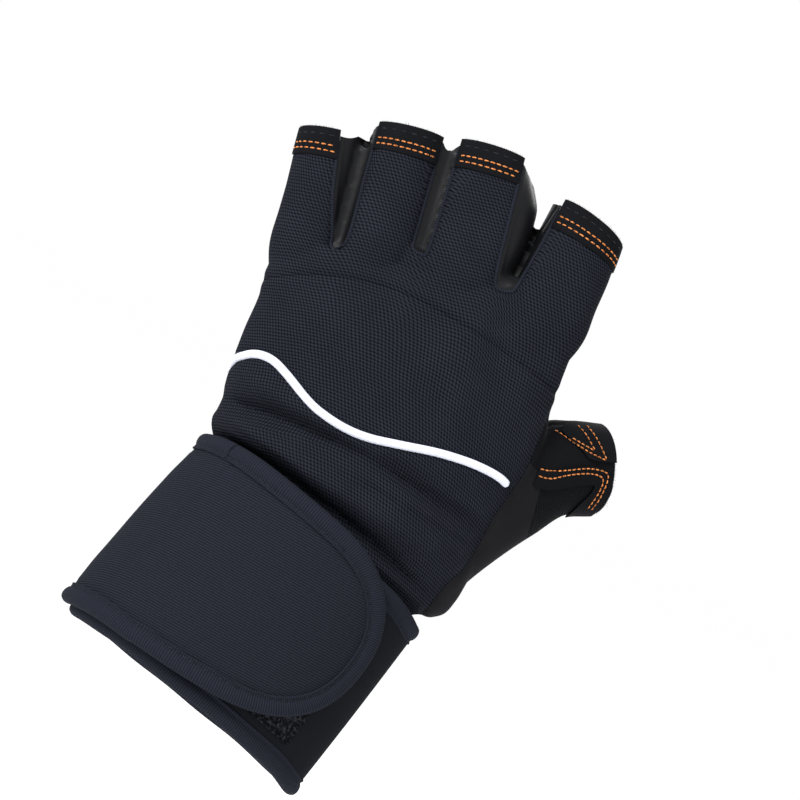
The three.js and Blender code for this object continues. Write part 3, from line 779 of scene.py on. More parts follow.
class Wardrobe:
    """All finishes of the glove, made once."""

    def __init__(self) -> None:
        """Makes the materials."""
        # Polyester bird's-eye knit: matte loops of about 1.2 mm with a painted highlight, over gaps of
        # near-black painted shade
        self.knit = LoopCloth("polyester_birdseye_knit", "21232B", "030304", 0.9, 0.03, 0.36).material()
        # Nylon-elastane rib: fine matt ribs with painted shade in the grooves, drawn at 0.85 mm where the
        # real ones are 0.5 mm, to show at all
        self.rib = RibbedCloth("nylon_elastane_rib", "121316", "050506", 0.85, 0.04, 0.16).material()
        # Brushed microfibre: a soft matt black nap
        self.microfibre = Leather("brushed_microfibre", "111215", "08080A", 0.85, 0.04, 0.03).material()
        # Coated polyurethane leather: smooth, with a broad soft shine
        self.coated = Leather("coated_polyurethane_leather", "0C0D0F", "050507", 0.45, 0.14,
                              0.015).material()
        # Nylon-elastane tricot on the side of the hand: a dull, even black
        self.tricot = Leather("nylon_elastane_tricot", "1A1A1D", "0F0F11", 0.8, 0.04, 0.02).material()
        # Chloroprene foam faced with nylon jersey: fine slanting ribs with painted shade in the grooves, and
        # a little lint
        self.neoprene = RibbedCloth("jersey_faced_chloroprene", "22252D", "0A0B0F", 0.92, 0.03, 0.09,
                                    pitch_mm=0.8, lean=102.0, laid=True, lint=True).material()
        # The same cloth's smoother side, on the cuff's inner layer, with the same painted highlight on the
        # loops and painted shade in the gaps
        self.neoprene_cuff = LoopCloth("smooth_jersey_chloroprene", "131519", "07080A", 0.9, 0.03, 0.05,
                                       wide_mm=1.0, tall_mm=0.85, slant=0.4, full=1.2).material()
        # Folded nylon jersey tape: fine ribs across the tape, with painted shade in the grooves
        self.tape = RibbedCloth("nylon_jersey_tape", "22252E", "0B0C10", 0.9, 0.04, 0.08,
                                pitch_mm=0.8, lean=0.0, laid=True).material()
        # Vinyl-covered piping cord: smooth satin white
        self.piping = Finish("vinyl_piping_cord", "C6C8D2", "B4B7C4", 0.45, 0.2, 0.02).material()
        # Nylon loop pile: a dull tangle
        self.pile = Pile("nylon_loop_pile", "24262B", "050607", 1.0, 0.05, 0.4).material()
        # Twisted polyester thread: warm orange with a painted highlight on top of each ply
        self.thread = Thread("orange_polyester_thread", "C07A43", "7A4018", 0.6, 0.15, 0.05).material()
        # Twisted polyester thread in black, for seams that hardly show, with the same painted highlight on
        # each ply
        self.dark_thread = Thread("black_polyester_thread", "24262C", "0E0F12", 0.7, 0.08,
                                  0.05).material()


# Forms

@dataclass
class CuffForm:
    """The oval that the cuff, its bindings and the strap lie on, in millimetres."""

    height: float = 67.0
    width: float = 87.4
    depth: float = 54.0
    tilt: float = 11.5
    pitch: float = 3.0
    flare: float = 0.045
    back_rise: float = 4.5
    rise_from: float = 6.0
    rise_to: float = 40.0

    def __post_init__(self) -> None:
        """Works out the frame and the lengths round the oval."""
        ct, st = turn(self.tilt)
        cp, sp = turn(self.pitch)
        self.across = np.array([ct, 0.0, -st])
        self.along = np.array([st * cp, sp, ct * cp])
        self.deep = np.cross(self.along, self.across)
        self.angles = np.linspace(-1.5 * math.pi, 0.5 * math.pi, 4001)
        x, y = self.width / 2 * np.cos(self.angles), self.depth / 2 * np.sin(self.angles)
        run = np.concatenate([[0.0], np.cumsum(np.hypot(np.diff(x), np.diff(y)))])
        self.run = run - np.interp(-0.5 * math.pi, self.angles, run)
        self.girth = run[-1]

    @property
    def top(self) -> Array:
        """Where the hand starts: the middle of the cuff's top."""
        return self.along * self.height

    def worn(self, points: Array) -> Array:
        """The worn shape: flared to the forearm, and with a back that rides up.

        Args:
            points: Points of the straight oval form.

        Returns:
            The moved points.
        """
        across, deep, along = points @ self.across, points @ self.deep, points @ self.along
        flare = 1 + self.flare * (1 - np.clip(along / self.height, 0, 1))
        back = smoothstep(-deep, 0, self.depth / 2)
        fade = 1 - smoothstep(along - self.height, self.rise_from, self.rise_to)
        up = along + self.back_rise * back * fade
        return (np.outer(across * flare, self.across) + np.outer(deep * flare, self.deep)
                + np.outer(up, self.along))

    def wrap(self, run: Array, up: Array, out: Array) -> Array:
        """Points of the flat cloth laid round the cuff.

        Args:
            run: Distance round the oval from the middle of the back, towards the thumb.
            up: Height along the cuff.
            out: Distance out of the cuff's face.

        Returns:
            The points.
        """
        once_round = (np.asarray(run) + self.girth / 2) % self.girth - self.girth / 2
        angle = np.interp(once_round, self.run, self.angles)
        x, y = self.width / 2 * np.cos(angle), self.depth / 2 * np.sin(angle)
        nx, ny = np.cos(angle) / self.width, np.sin(angle) / self.depth
        size = np.hypot(nx, ny)
        x, y = x + nx / size * out, y + ny / size * out
        return self.worn(np.outer(x, self.across) + np.outer(y, self.deep) + np.outer(up, self.along))


def oval(count: int, centre: Array, tilt: float, pitch: float, sizes: Sequence[float], power: float
         ) -> Array:
    """A ring of points: an oval with its own half size on each side.

    Args:
        count: How many points.
        centre: The middle.
        tilt: Turn from up towards the thumb, in degrees.
        pitch: Lean towards the palm, in degrees.
        sizes: Half sizes to the left, right, back and palm.
        power: 2 for an ellipse, more for a squarer oval.

    Returns:
        The points.
    """
    ct, st = turn(tilt)
    cp, sp = turn(pitch)
    across = np.array([ct, 0.0, -st])
    deep = np.cross([st * cp, sp, ct * cp], across)
    angle = np.arange(count) / count * 2 * math.pi
    c, s = np.cos(angle), np.sin(angle)
    left, right, back, palm = sizes
    x = np.sign(c) * np.abs(c) ** (2 / power) * np.where(c > 0, right, left)
    y = np.sign(s) * np.abs(s) ** (2 / power) * np.where(s > 0, palm, back)
    return centre + np.outer(x, across) + np.outer(y, deep)


@dataclass
class Finger:
    """One half finger, in millimetres and degrees."""

    at: tuple[float, float]
    length: float
    width: float
    lean: float
    hem_slope: float
    pitch: float
    base_share: float
    root: tuple[float, float]
    base_y: float
    belly: float = 0.0


@dataclass
class HandForm:
    """The worn hand part above the cuff: the shape that the panels are cut from."""

    cuff: CuffForm
    length: float = 98.5
    breadth: float = 103.0
    thickness: float = 37.0
    shift: float = -1.6
    wall: float = 1.6
    finger_depth: float = 23.0
    hem_height: float = 9.0
    side_seam: float = 4.0
    neck: float = 9.0
    thumb_reach: float = 29.0
    thumb_width: float = 29.0
    thumb_depth: float = 26.0
    ball_width: float = 37.5
    around: int = 144
    fold_gain: float = 1.45
    fingers: dict[Digit, Finger] = field(default_factory=lambda: {
        Digit.PINKY: Finger((-0.89, 0.862), 33, 22.8, 13.6, 16, 8, 0.96, (-0.73, 0.65), 3),
        Digit.RING: Finger((-0.475, 0.953), 36, 24.6, 11.8, 13.7, 8, 0.98, (-0.4, 0.73), 0),
        Digit.MIDDLE: Finger((0.055, 1.011), 37, 26.6, 13.6, 10.4, 11, 1.04, (0.02, 0.77), 0, 0.38),
        Digit.INDEX: Finger((0.642, 1.031), 28.5, 26.9, 2.8, -8.7, 15, 1.04, (0.6, 0.79), 1),
    })

    # Rings of the hand: the two shares of its place, up first; reach to the left and right in shares of
    # half the breadth, to the back and palm in shares of half the thickness; how far it still follows the
    # cuff's tilt, and the degrees that it is turned besides
    SECTIONS = (
        (0.045, 0.03, 0.85, 0.87, 1.22, 1.22, 1, 0), (0.085, 0.05, 0.945, 0.93, 1.3, 1.24, 0.98, 0),
        (0.115, 0.055, 0.96, 0.94, 1.3, 1.22, 0.9, 0), (0.145, 0.06, 0.955, 0.94, 1.28, 1.2, 0.8, 0),
        (0.205, 0.06, 0.95, 0.935, 1.23, 1.16, 0.6, 0), (0.265, 0.05, 0.96, 0.945, 1.16, 1.14, 0.42, 0),
        (0.3, 0.045, 0.965, 0.955, 1.12, 1.13, 0.34, 0), (0.35, 0.04, 0.97, 0.97, 1.07, 1.12, 0.2, 0),
        (0.52, 0.025, 0.995, 1.005, 0.99, 1.07, 0, 0), (0.63, 0.005, 0.985, 0.99, 0.97, 1.03, 0, -2),
        (0.73, -0.03, 0.985, 0.965, 0.92, 0.96, 0, -5), (0.81, -0.06, 0.97, 0.975, 0.82, 0.86, 0, -8),
        (0.88, -0.08, 0.965, 0.985, 0.69, 0.72, 0, -11), (0.935, -0.09, 0.95, 0.96, 0.57, 0.6, 0, -13),
    )
    # Folds from place to place; sag as a share of the length, rise in mm, half width as a share of the length
    FOLDS = (
        ((-0.86, 0.265), (0.92, 0.275), 0.05, -2.6, 0.032), ((-0.78, 0.215), (0.95, 0.14), 0.012, 2.2, 0.042),
        ((-0.72, 0.162), (0.8, 0.02), 0.03, -2.2, 0.026), ((-0.9, 0.36), (0.25, 0.31), 0.02, 1.4, 0.035),
        ((-0.8, 0.1), (0.9, -0.02), 0.03, 1.0, 0.02), ((-0.95, 0.205), (-0.25, 0.17), 0.01, -0.7, 0.01),
        ((0.1, 0.24), (0.98, 0.22), 0.0, -0.8, 0.012), ((-0.2, 0.13), (0.75, 0.075), 0.01, -0.6, 0.009),
        ((-0.7, 0.285), (0.2, 0.315), 0.01, 0.6, 0.012), ((0.3, 0.33), (0.98, 0.33), 0.0, 0.5, 0.014),
        ((-0.84, 0.27), (0.8, 0.262), 0.05, -1.1, 0.011), ((-0.7, 0.158), (0.75, 0.035), 0.03, -1.0, 0.009),
        ((-0.75, 0.235), (0.9, 0.175), 0.02, 0.8, 0.012),
    )
    # left finger, right finger, the web's top in shares of breadth and length
    WEBS = (
        (Digit.PINKY, Digit.RING, (-0.672, 0.876)), (Digit.RING, Digit.MIDDLE, (-0.222, 1.003)),
        (Digit.MIDDLE, Digit.INDEX, (0.36, 1.06)),
    )
    # Rings of the thumb's ball: place, turn in degrees, width as a share of the ball's, half depth as a share
    # of the thumb's depth, and how much of the thumb's reach and slope it already has
    THUMB = (
        ((0.6, 0.03), 10, 0.88, 0.6, 0.1), ((0.68, 0.19), 15, 0.96, 0.62, 0.16),
        ((0.79, 0.34), 30, 1.02, 0.62, 0.24), ((0.965, 0.475), 45, 0.98, 0.6, 0.36),
    )
    THUMB_HEM = ((1.375, 0.627), 67.0)
    KNUCKLE_SEAM = ((-1.2, 0.59), (-0.87, 0.716), (-0.53, 0.8), (-0.12, 0.84), (0.35, 0.832), (0.755, 0.805),
                    (1.02, 0.775))
    PIPING_SEAM = ((-0.98, 0.35), (-0.88, 0.42), (-0.8, 0.447), (-0.7, 0.452), (-0.58, 0.432), (-0.42, 0.396),
                   (-0.31, 0.379), (-0.14, 0.37), (0.03, 0.378), (0.24, 0.408), (0.45, 0.44), (0.65, 0.459),
                   (0.81, 0.463), (0.9, 0.455), (0.955, 0.441))
    KNIT_EDGE = ((0.98, 0.78), (0.955, 0.7), (0.965, 0.6), (0.975, 0.52), (0.955, 0.42), (0.935, 0.33),
                 (0.935, 0.25), (0.92, 0.15), (0.86, 0.05), (0.8, -0.2))
    PALM_SEAM = ((-2, 0), (0.86, 0), (1.03, 0.17), (1.2, 0.4), (1.37, 0.62), (1.7, 0.98))
    # left finger, right finger, seams beside each at the crotch and at the hem, in shares of half width;
    # then where the right seam starts as a share of its finger, and the drop of the strip's round end in mm
    FOURCHETTES = (
        (Digit.PINKY, Digit.RING, (0.72, 0.1), (-0.84, -0.89), -0.04, 3.4),
        (Digit.RING, Digit.MIDDLE, (0.88, 0.84), (-0.92, -0.79), 0.04, 1.8),
        (Digit.MIDDLE, Digit.INDEX, (0.76, 0.77), (-0.92, -0.74), 0.0, 2.5),
    )

    def place(self, across: float, up: float) -> Array:
        """A place on the hand in x and z, from shares of half breadth and length."""
        start = self.cuff.top
        return np.array([start[0] + self.shift + across * self.breadth / 2, start[2] + up * self.length])

    def line(self, shares: Sequence[tuple[float, float]], pitch: float = 0.8) -> Array:
        """A smooth line of x and z through places on the hand."""
        return through([self.place(*share) for share in shares], pitch)

    def fold_rise(self, x: Array, z: Array) -> Array:
        """How far folds lift the back out, in mm, below zero in valleys.

        Args:
            x: Places across the hand.
            z: Places up the hand.

        Returns:
            One height a place.
        """
        rise = np.zeros(len(x))
        for start, end, sag, height, wide in self.FOLDS:
            (x0, z0), (x1, z1) = self.place(*start), self.place(*end)
            share = (x - x0) / (x1 - x0)
            here = smoothstep(share, -0.12, 0.12) * (1 - smoothstep(share, 0.85, 1.1))
            middle = z0 + (z1 - z0) * share + sag * self.length * 4 * share * (1 - share)
            rise += here * height * np.exp(-((z - middle) / (wide * self.length)) ** 2)
        return rise

    def body(self, inset: float) -> list[Array]:
        """The rings of the hand without its fingers, set in by a distance.

        Args:
            inset: How far inside the outer skin the rings lie.

        Returns:
            The rings from the wrist up.
        """
        cuff, half, thick = self.cuff, self.breadth / 2, self.thickness / 2
        clear = 3 + 0.9 + 0.9 + inset
        neck = (cuff.width / 2 - clear,) * 2 + (cuff.depth / 2 - clear,) * 2
        opened = 8.0 if inset > 0 else 0.0
        stations = []
        for level in (-self.neck - opened, 0.0, 1.5):
            middle = cuff.along * (cuff.height + level)
            stations.append(cuff.worn(oval(self.around, middle, cuff.tilt, cuff.pitch, neck, 2)))
        for up, shift, left, right, back, palm, follow, slope in self.SECTIONS:
            x, z = self.place(shift, up)
            y = cuff.top[1] + up * self.length * turn(cuff.pitch)[1] * follow
            lowered = inset if up == self.SECTIONS[-1][0] else 0
            sizes = [max(1, left * half - inset), max(1, right * half - inset),
                     max(1, back * thick - inset), max(1, palm * thick - inset)]
            power = 2.35 + (2 - 2.35) * follow
            ring = oval(self.around, np.array([x, y, z - lowered]), cuff.tilt * follow + slope,
                        cuff.pitch * follow, sizes, power)
            stations.append(cuff.worn(ring))
        rings = between(stations, 1.2)
        for ring in rings:
            facing = smoothstep(ring[:, 1].mean() - ring[:, 1], 0, 0.7 * thick)
            ring[:, 1] -= facing * self.fold_gain * self.fold_rise(ring[:, 0], ring[:, 2])
        return rings

    def finger_centre(self, finger: Finger, share: float) -> Array:
        """The middle of a finger in x and z, at a share of its length from the crotch."""
        c, s = turn(finger.lean)
        return self.place(*finger.at) + np.array([-s, c]) * share * finger.length

    def finger_size(self, finger: Finger, share: float) -> tuple[float, float]:
        """The half width and the slope of a finger at a share of its length.

        Args:
            finger: Any of the four.
            share: Share of the finger's length.

        Returns:
            Half width in millimetres, and slope in degrees.
        """
        t = min(1.0, max(0.0, share))
        return (finger.width / 2 * (finger.base_share + (1 - finger.base_share) * t),
                finger.lean + (finger.hem_slope - finger.lean) * t)

    def beside(self, finger: Finger, share: float, side: float) -> Array:
        """A place beside a finger's middle, side in shares of its half width.

        Args:
            finger: Any of the four.
            share: Share of the finger's length.
            side: Below zero to the left.

        Returns:
            The place in x and z.
        """
        half, slope = self.finger_size(finger, share)
        c, s = turn(slope)
        return self.finger_centre(finger, share) + np.array([c, s]) * side * half

    def finger_ring(self, finger: Finger, share: float, inset: float, spread: float = 1.0, bulge: float = 0.0
                    ) -> Array:
        """A ring round a finger at a share of its length.

        Args:
            finger: Any of the four.
            share: Share of the finger's length.
            inset: How far inside the outer skin it lies.
            spread: Factor on its half width.
            bulge: How much of the finger's belly it has, on its right side.

        Returns:
            The ring.
        """
        x, z = self.finger_centre(finger, share)
        rise = max(0.0, share)
        y = self.cuff.top[1] + finger.base_y + rise * finger.length * math.tan(math.radians(finger.pitch))
        half, slope = self.finger_size(finger, share)
        deep = self.finger_depth / 2 - inset
        side = half * spread - inset
        sizes = (side, side + half * finger.belly * bulge, deep, deep)
        return oval(self.around // 2, np.array([x, y, z]), -slope, finger.pitch * rise, sizes, 2.2)

    def finger(self, finger: Finger, inset: float, past: float) -> list[Array]:
        """The rings of a finger, set in by a distance and run past its hem.

        Args:
            finger: Any of the four.
            inset: How far inside the outer skin the rings lie.
            past: How far they run past the hem.

        Returns:
            The rings from the knuckle out.
        """
        x, z = self.place(*finger.root)
        root_size = 0.9 * self.finger_size(finger, 0)[0] - inset
        root_deep = 0.85 * self.finger_depth / 2 - inset
        centre = np.array([x, self.cuff.top[1] + finger.base_y + 0.5, z])
        rise = 5 / finger.length
        stations = [
            oval(self.around // 2, centre, -finger.lean / 2, 0, (root_size,) * 2 + (root_deep,) * 2, 2.2),
            self.finger_ring(finger, -rise, inset, 1.04),
            self.finger_ring(finger, rise, inset, 1.0, 0.6),
            self.finger_ring(finger, 0.6, inset, 1.0, 1.0),
            self.finger_ring(finger, 1, inset),
            self.finger_ring(finger, 1 + past / finger.length, inset),
        ]
        return between(stations, 1.2)

    def web(self, left: Digit, right: Digit, top: tuple[float, float], inset: float) -> list[Array]:
        """The rings of the saddle that joins two fingers below their crotch.

        Args:
            left: The finger to the left.
            right: The finger to the right.
            top: The web's top, in shares.
            inset: How far inside the outer skin the rings lie.

        Returns:
            The rings.
        """
        a, b = self.fingers[left], self.fingers[right]
        x, z = self.place(*top)
        span = (self.finger_centre(b, 0)[0] - self.finger_centre(a, 0)[0]) / 2
        y = self.cuff.top[1] + (a.base_y + b.base_y) / 2
        rings = []
        for below, wide, deep in ((-0.5, 1, 0.9), (-0.12, 0.9, 0.78), (0, 0.5, 0.42)):
            centre = np.array([x - below * span * 0.4, y, z + below * 2 * span - inset])
            sizes = (wide * span - inset,) * 2 + (deep * self.finger_depth / 2 - inset,) * 2
            rings.append(oval(self.around // 2, centre, 0, 0, sizes, 2.2))
        return between(rings, 1.2)

    def filler(self, left: Digit, right: Digit) -> list[Array]:
        """The rings of the leather that is pressed together between two close fingers.

        Args:
            left: The finger to the left.
            right: The finger to the right.

        Returns:
            The rings.
        """
        a, b = self.fingers[left], self.fingers[right]
        shares = np.linspace(-0.3, 1.0, 14)
        sides = [np.array([self.beside(f, share, side) for share in shares]) for f, side in ((a, 1), (b, -1))]
        low = max(side[0][1] for side in sides)
        high = min(side[-1][1] for side in sides) - 1.6
        rings = []
        for z in np.linspace(low, high, 20):
            x0, x1 = (float(np.interp(z, side[:, 1], side[:, 0])) for side in sides)
            lift = max(0.0, z - self.finger_centre(a, 0)[1]) * math.tan(math.radians((a.pitch + b.pitch) / 2))
            centre = np.array([(x0 + x1) / 2, self.cuff.top[1] + (a.base_y + b.base_y) / 2 + lift, z])
            sizes = ((x1 - x0) / 2 + 3.4,) * 2 + (0.6 * self.finger_depth / 2,) * 2
            rings.append(oval(self.around // 2, centre, 0, 0, sizes, 4))
        return rings

    def thumb(self, inset: float, past: float) -> list[Array]:
        """The rings of the thumb and its ball, set in by a distance and run past the hem.

        Args:
            inset: How far inside the outer skin the rings lie.
            past: How far they run past the hem, or zero to end at it.

        Returns:
            The rings from the palm out.
        """
        count = self.around * 2 // 3
        start = self.cuff.top[1]
        rings = []
        for at, lean, wide, deep, back in self.THUMB:
            x, z = self.place(*at)
            sizes = (wide * self.ball_width / 2 - inset,) * 2 + (deep * self.thumb_depth - inset,) * 2
            middle = np.array([x, start + back * self.thumb_reach, z])
            rings.append(oval(count, middle, lean, back * 30, sizes, 2.1))
        (last_x, last_z), (hem_x, hem_z) = self.place(*self.THUMB[-1][0]), self.place(*self.THUMB_HEM[0])
        last_y, hem_y = start + self.THUMB[-1][4] * self.thumb_reach, start + 0.72 * self.thumb_reach
        middle = np.array([last_x + (hem_x - last_x) * 0.53, (last_y + hem_y) / 2,
                           last_z + (hem_z - last_z) * 0.7])
        sizes = (self.thumb_width * 0.535 - inset,) * 2 + (self.thumb_depth * 0.53 - inset,) * 2
        rings.append(oval(count, middle, 60, 22, sizes, 2.1))
        sizes = (self.thumb_width / 2 - inset,) * 2 + (self.thumb_depth / 2 - inset,) * 2
        centre, out = self.thumb_hem()
        for further in (0.0, past):
            rings.append(oval(count, centre + out * further, self.THUMB_HEM[1], 30, sizes, 2.1))
        return between(rings if past > 0 else rings[:-1], 1.0)

    def thumb_hem(self) -> tuple[Array, Array]:
        """The middle of the thumb's hem and the way out of it.

        Returns:
            The middle, and the direction.
        """
        x, z = self.place(*self.THUMB_HEM[0])
        centre = np.array([x, self.cuff.top[1] + 0.72 * self.thumb_reach, z])
        ct, st = turn(self.THUMB_HEM[1])
        cp, sp = turn(30)
        return centre, np.array([st * cp, sp, ct * cp])

    def solid(self, name: str, inset: float, voxel: float) -> Piece:
        """The whole form as one skin, with the ends of fingers and thumb left long.

        Args:
            name: The new piece's name.
            inset: How far inside the outer skin it lies.
            voxel: The size of the cells that fuse it.

        Returns:
            The fused piece.
        """
        past = 2.0 if inset == 0 else 8.0
        parts = [loft("body", self.body(inset)), loft("thumb", self.thumb(inset, past))]
        parts += [loft("finger", self.finger(finger, inset, past)) for finger in self.fingers.values()]
        parts += [loft("web", self.web(*web, inset)) for web in self.WEBS]
        if inset == 0:
            parts += [loft("filler", self.filler(left, right)) for left, right, _ in self.WEBS[:2]]
        return fused(name, parts, voxel)

    def fourchette_outline(self, left: Digit, right: Digit, left_seam: tuple[float, float],
                           right_seam: tuple[float, float], start: float, drop_by: float) -> Array:
        """The outline in x and z of the strip between two fingers.

        Args:
            left: The finger to the left.
            right: The finger to the right.
            left_seam: The seam at the crotch and at the hem, beside the left finger.
            right_seam: The same beside the right finger.
            start: Where the right seam starts, as a share of its finger.
            drop_by: The drop of the strip's round end.

        Returns:
            The outline.
        """
        a, b = self.fingers[left], self.fingers[right]
        base_a, base_b = self.beside(a, 0.06, left_seam[0]), self.beside(b, start, right_seam[0])
        floor = min(base_a[1], base_b[1]) - drop_by
        ends = [np.array([base_a[0] * share + base_b[0] * (1 - share), floor]) for share in (0.7, 0.3)]
        return through([
            self.beside(a, 1.3, left_seam[1]), self.beside(a, 0.5, sum(left_seam) / 2), base_a, *ends,
            base_b, self.beside(b, 0.5, sum(right_seam) / 2), self.beside(b, 1.3, right_seam[1]),
        ], 0.8)

    def fourchette_end(self, left: Digit, right: Digit, left_seam: tuple[float, float],
                       right_seam: tuple[float, float]) -> Array:
        """The outline in x and z of what is cut off a strip, in a hollow curve from hem to hem.

        Args:
            left: The finger to the left.
            right: The finger to the right.
            left_seam: The seam at the crotch and at the hem, beside the left finger.
            right_seam: The same beside the right finger.

        Returns:
            The outline.
        """
        a = self.beside(self.fingers[left], 0.99, left_seam[1])
        b = self.beside(self.fingers[right], 0.99, right_seam[1])
        way, up = b - a, np.array([0.0, 1.0])
        curve = through([a - way * 0.25 + up, a, (a + b) / 2 - up * 2.6, b, b + way * 0.25 + up], 0.5)
        return np.vstack([curve, [curve[-1] + up * 25, curve[0] + up * 25]])

    def palm_line(self, gap: float) -> Array:
        """The seam round both sides of the hand in x and y.

        Args:
            gap: How far it is moved towards the back of the hand.

        Returns:
            The seam as points.
        """
        start = self.cuff.top[1]
        return np.array([[self.place(across, 0)[0], start + self.side_seam + reach * self.thumb_reach - gap]
                         for across, reach in self.PALM_SEAM])

    def palm_cutter(self, gap: float) -> Piece:
        """Everything behind the side seam, as a cutter.

        Args:
            gap: How far it is moved towards the back of the hand.

        Returns:
            The cutter.
        """
        line = self.palm_line(gap)
        loop = np.vstack([line, [line[-1][0], 120], [line[0][0], 120]])
        low, high = (np.column_stack([loop, np.full(len(loop), level)]) for level in (-60.0, 260.0))
        return loft("palm_cutter", [low, high])

    def flow(self, points: Array) -> Array:
        """Where points of the back lie in the flat knit.

        The rows arch over the hand and lie square to each finger, and the columns fan out with the fingers.

        Args:
            points: Points on the back.

        Returns:
            Distance along the rows and across them.
        """
        x0, z0 = self.place(0.05, 0.4)
        x, z = points[:, 0] - x0, points[:, 2] - z0
        high = smoothstep(points[:, 2], self.place(0, 0.55)[1], self.place(0, 0.95)[1])
        top = self.cuff.top[1] - self.thickness / 2
        drop_off = np.tanh(x / 15) * 0.8 * np.maximum(0, points[:, 1] - top)
        flow = np.stack([x * (1 - 0.0022 * z) + drop_off, z + 0.0042 * x ** 2], axis=1)
        weights, local = [], []
        for finger in self.fingers.values():
            c, s = turn(finger.lean)
            start = self.finger_centre(finger, 0)
            off = points[:, [0, 2]] - start
            sx, sz = start[0] - x0, start[1] - z0
            across, along = off @ np.array([c, s]), off @ np.array([-s, c])
            wrapped = across + np.sign(sx) * 0.8 * np.maximum(0, points[:, 1] - self.cuff.top[1] + 6)
            local.append(np.stack([sx * (1 - 0.0022 * sz) + wrapped, sz + 0.0042 * sx ** 2 + along], axis=1))
            weights.append(np.exp(-(across / 10) ** 2) + 1e-6)
        weights = np.stack(weights)
        weights /= weights.sum(axis=0)
        fingers = sum(w[:, None] * f for w, f in zip(weights, local))
        return flow * (1 - high)[:, None] + fingers * high[:, None]


class FaceFinder:
    """Finds points on a form's face, for what lies or is sewn on it."""

    def __init__(self, *forms: Piece) -> None:
        """Reads the forms' faces.

        Args:
            *forms: The pieces that are looked at.
        """
        corners: list[Sequence[float]] = []
        faces: list[Sequence[int]] = []
        for form in forms:
            base = len(corners)
            corners += [v.co[:] for v in form.data.vertices]
            faces += [[base + k for k in p.vertices] for p in form.data.polygons]
        self.tree = BVHTree.FromPolygons(corners, faces)

    def hit(self, start: Sequence[float], way: Sequence[float]) -> tuple[Array, Array] | None:
        """The first point and normal on a ray, in millimetres."""
        place, normal, _, _ = self.tree.ray_cast(Vector(start) * MM, Vector(way))
        return None if place is None else (np.array(place) / MM, np.array(normal))

    def from_back(self, line: Array) -> tuple[Array, Array]:
        """Points and normals under a line of x and z, seen from the back."""
        return self.seen([((x, -150, z), (0, 1, 0)) for x, z in line])

    def seen(self, rays: Sequence[tuple[Sequence[float], Sequence[float]]]) -> tuple[Array, Array]:
        """Points and normals where rays meet the face.

        Args:
            rays: The start and way of each ray.

        Returns:
            The points and their smoothed normals.
        """
        found = [f for f in (self.hit(*ray) for ray in rays) if f is not None]
        normals = np.array([f[1] for f in found])
        for _ in range(4):
            normals[1:-1] = (normals[:-2] + normals[1:-1] + normals[2:]) / 3
        return np.array([f[0] for f in found]), normals


def stitches(name: str, rows: list[tuple[Array, Array]], pitch: float, length: float, width: float,
             seed: int = 3) -> Piece:
    """Stitches that lie on a face in rows.

    Args:
        name: The piece's name.
        rows: The points and normals of each row.
        pitch: Distance from stitch to stitch.
        length: Length of a stitch.
        width: Thickness of the thread.
        seed: For the small differences between stitches.

    Returns:
        The piece.
    """
    chance = np.random.default_rng(seed)
    rings, spokes = 7, 6
    t = np.linspace(-1, 1, rings)
    radius = np.sqrt(np.maximum(0.06, 1 - np.abs(t) ** 2.6)) / 2
    angle = np.arange(spokes) / spokes * 2 * math.pi
    along = np.repeat(t * length / 2, spokes)
    side = (radius[:, None] * np.cos(angle) * width).ravel()
    up = (radius[:, None] * np.sin(angle) * width * 0.8).ravel() + np.repeat(0.16 - 0.2 * t ** 2, spokes)
    faces = [list(f) for f in ring_faces(rings, spokes)]
    faces += [list(range(spokes))[::-1], list(range((rings - 1) * spokes, rings * spokes))]
    vertices, all_faces = [], []
    for points, normals in rows:
        both = resampled(np.hstack([points, normals]), pitch)
        for a, b in zip(both[:-1], both[1:]):
            centre, normal = (a[:3] + b[:3]) / 2, (a[3:] + b[3:]) / 2
            way = (b[:3] - a[:3]) + chance.normal(0, 0.05, 3)
            normal = normal / np.linalg.norm(normal)
            way = way - normal * (way @ normal)
            way /= np.linalg.norm(way)
            across = np.cross(normal, way)
            base = len(vertices) * rings * spokes
            size = 1 + chance.normal(0, 0.05)
            vertices.append(centre + np.outer(along * size, way) + np.outer(side, across)
                            + np.outer(up, normal))
            all_faces += [[k + base for k in f] for f in faces]
    made = piece_of(name, np.vstack(vertices), all_faces)
    smooth_look(made, 80)
    return made


# Sub-assemblies

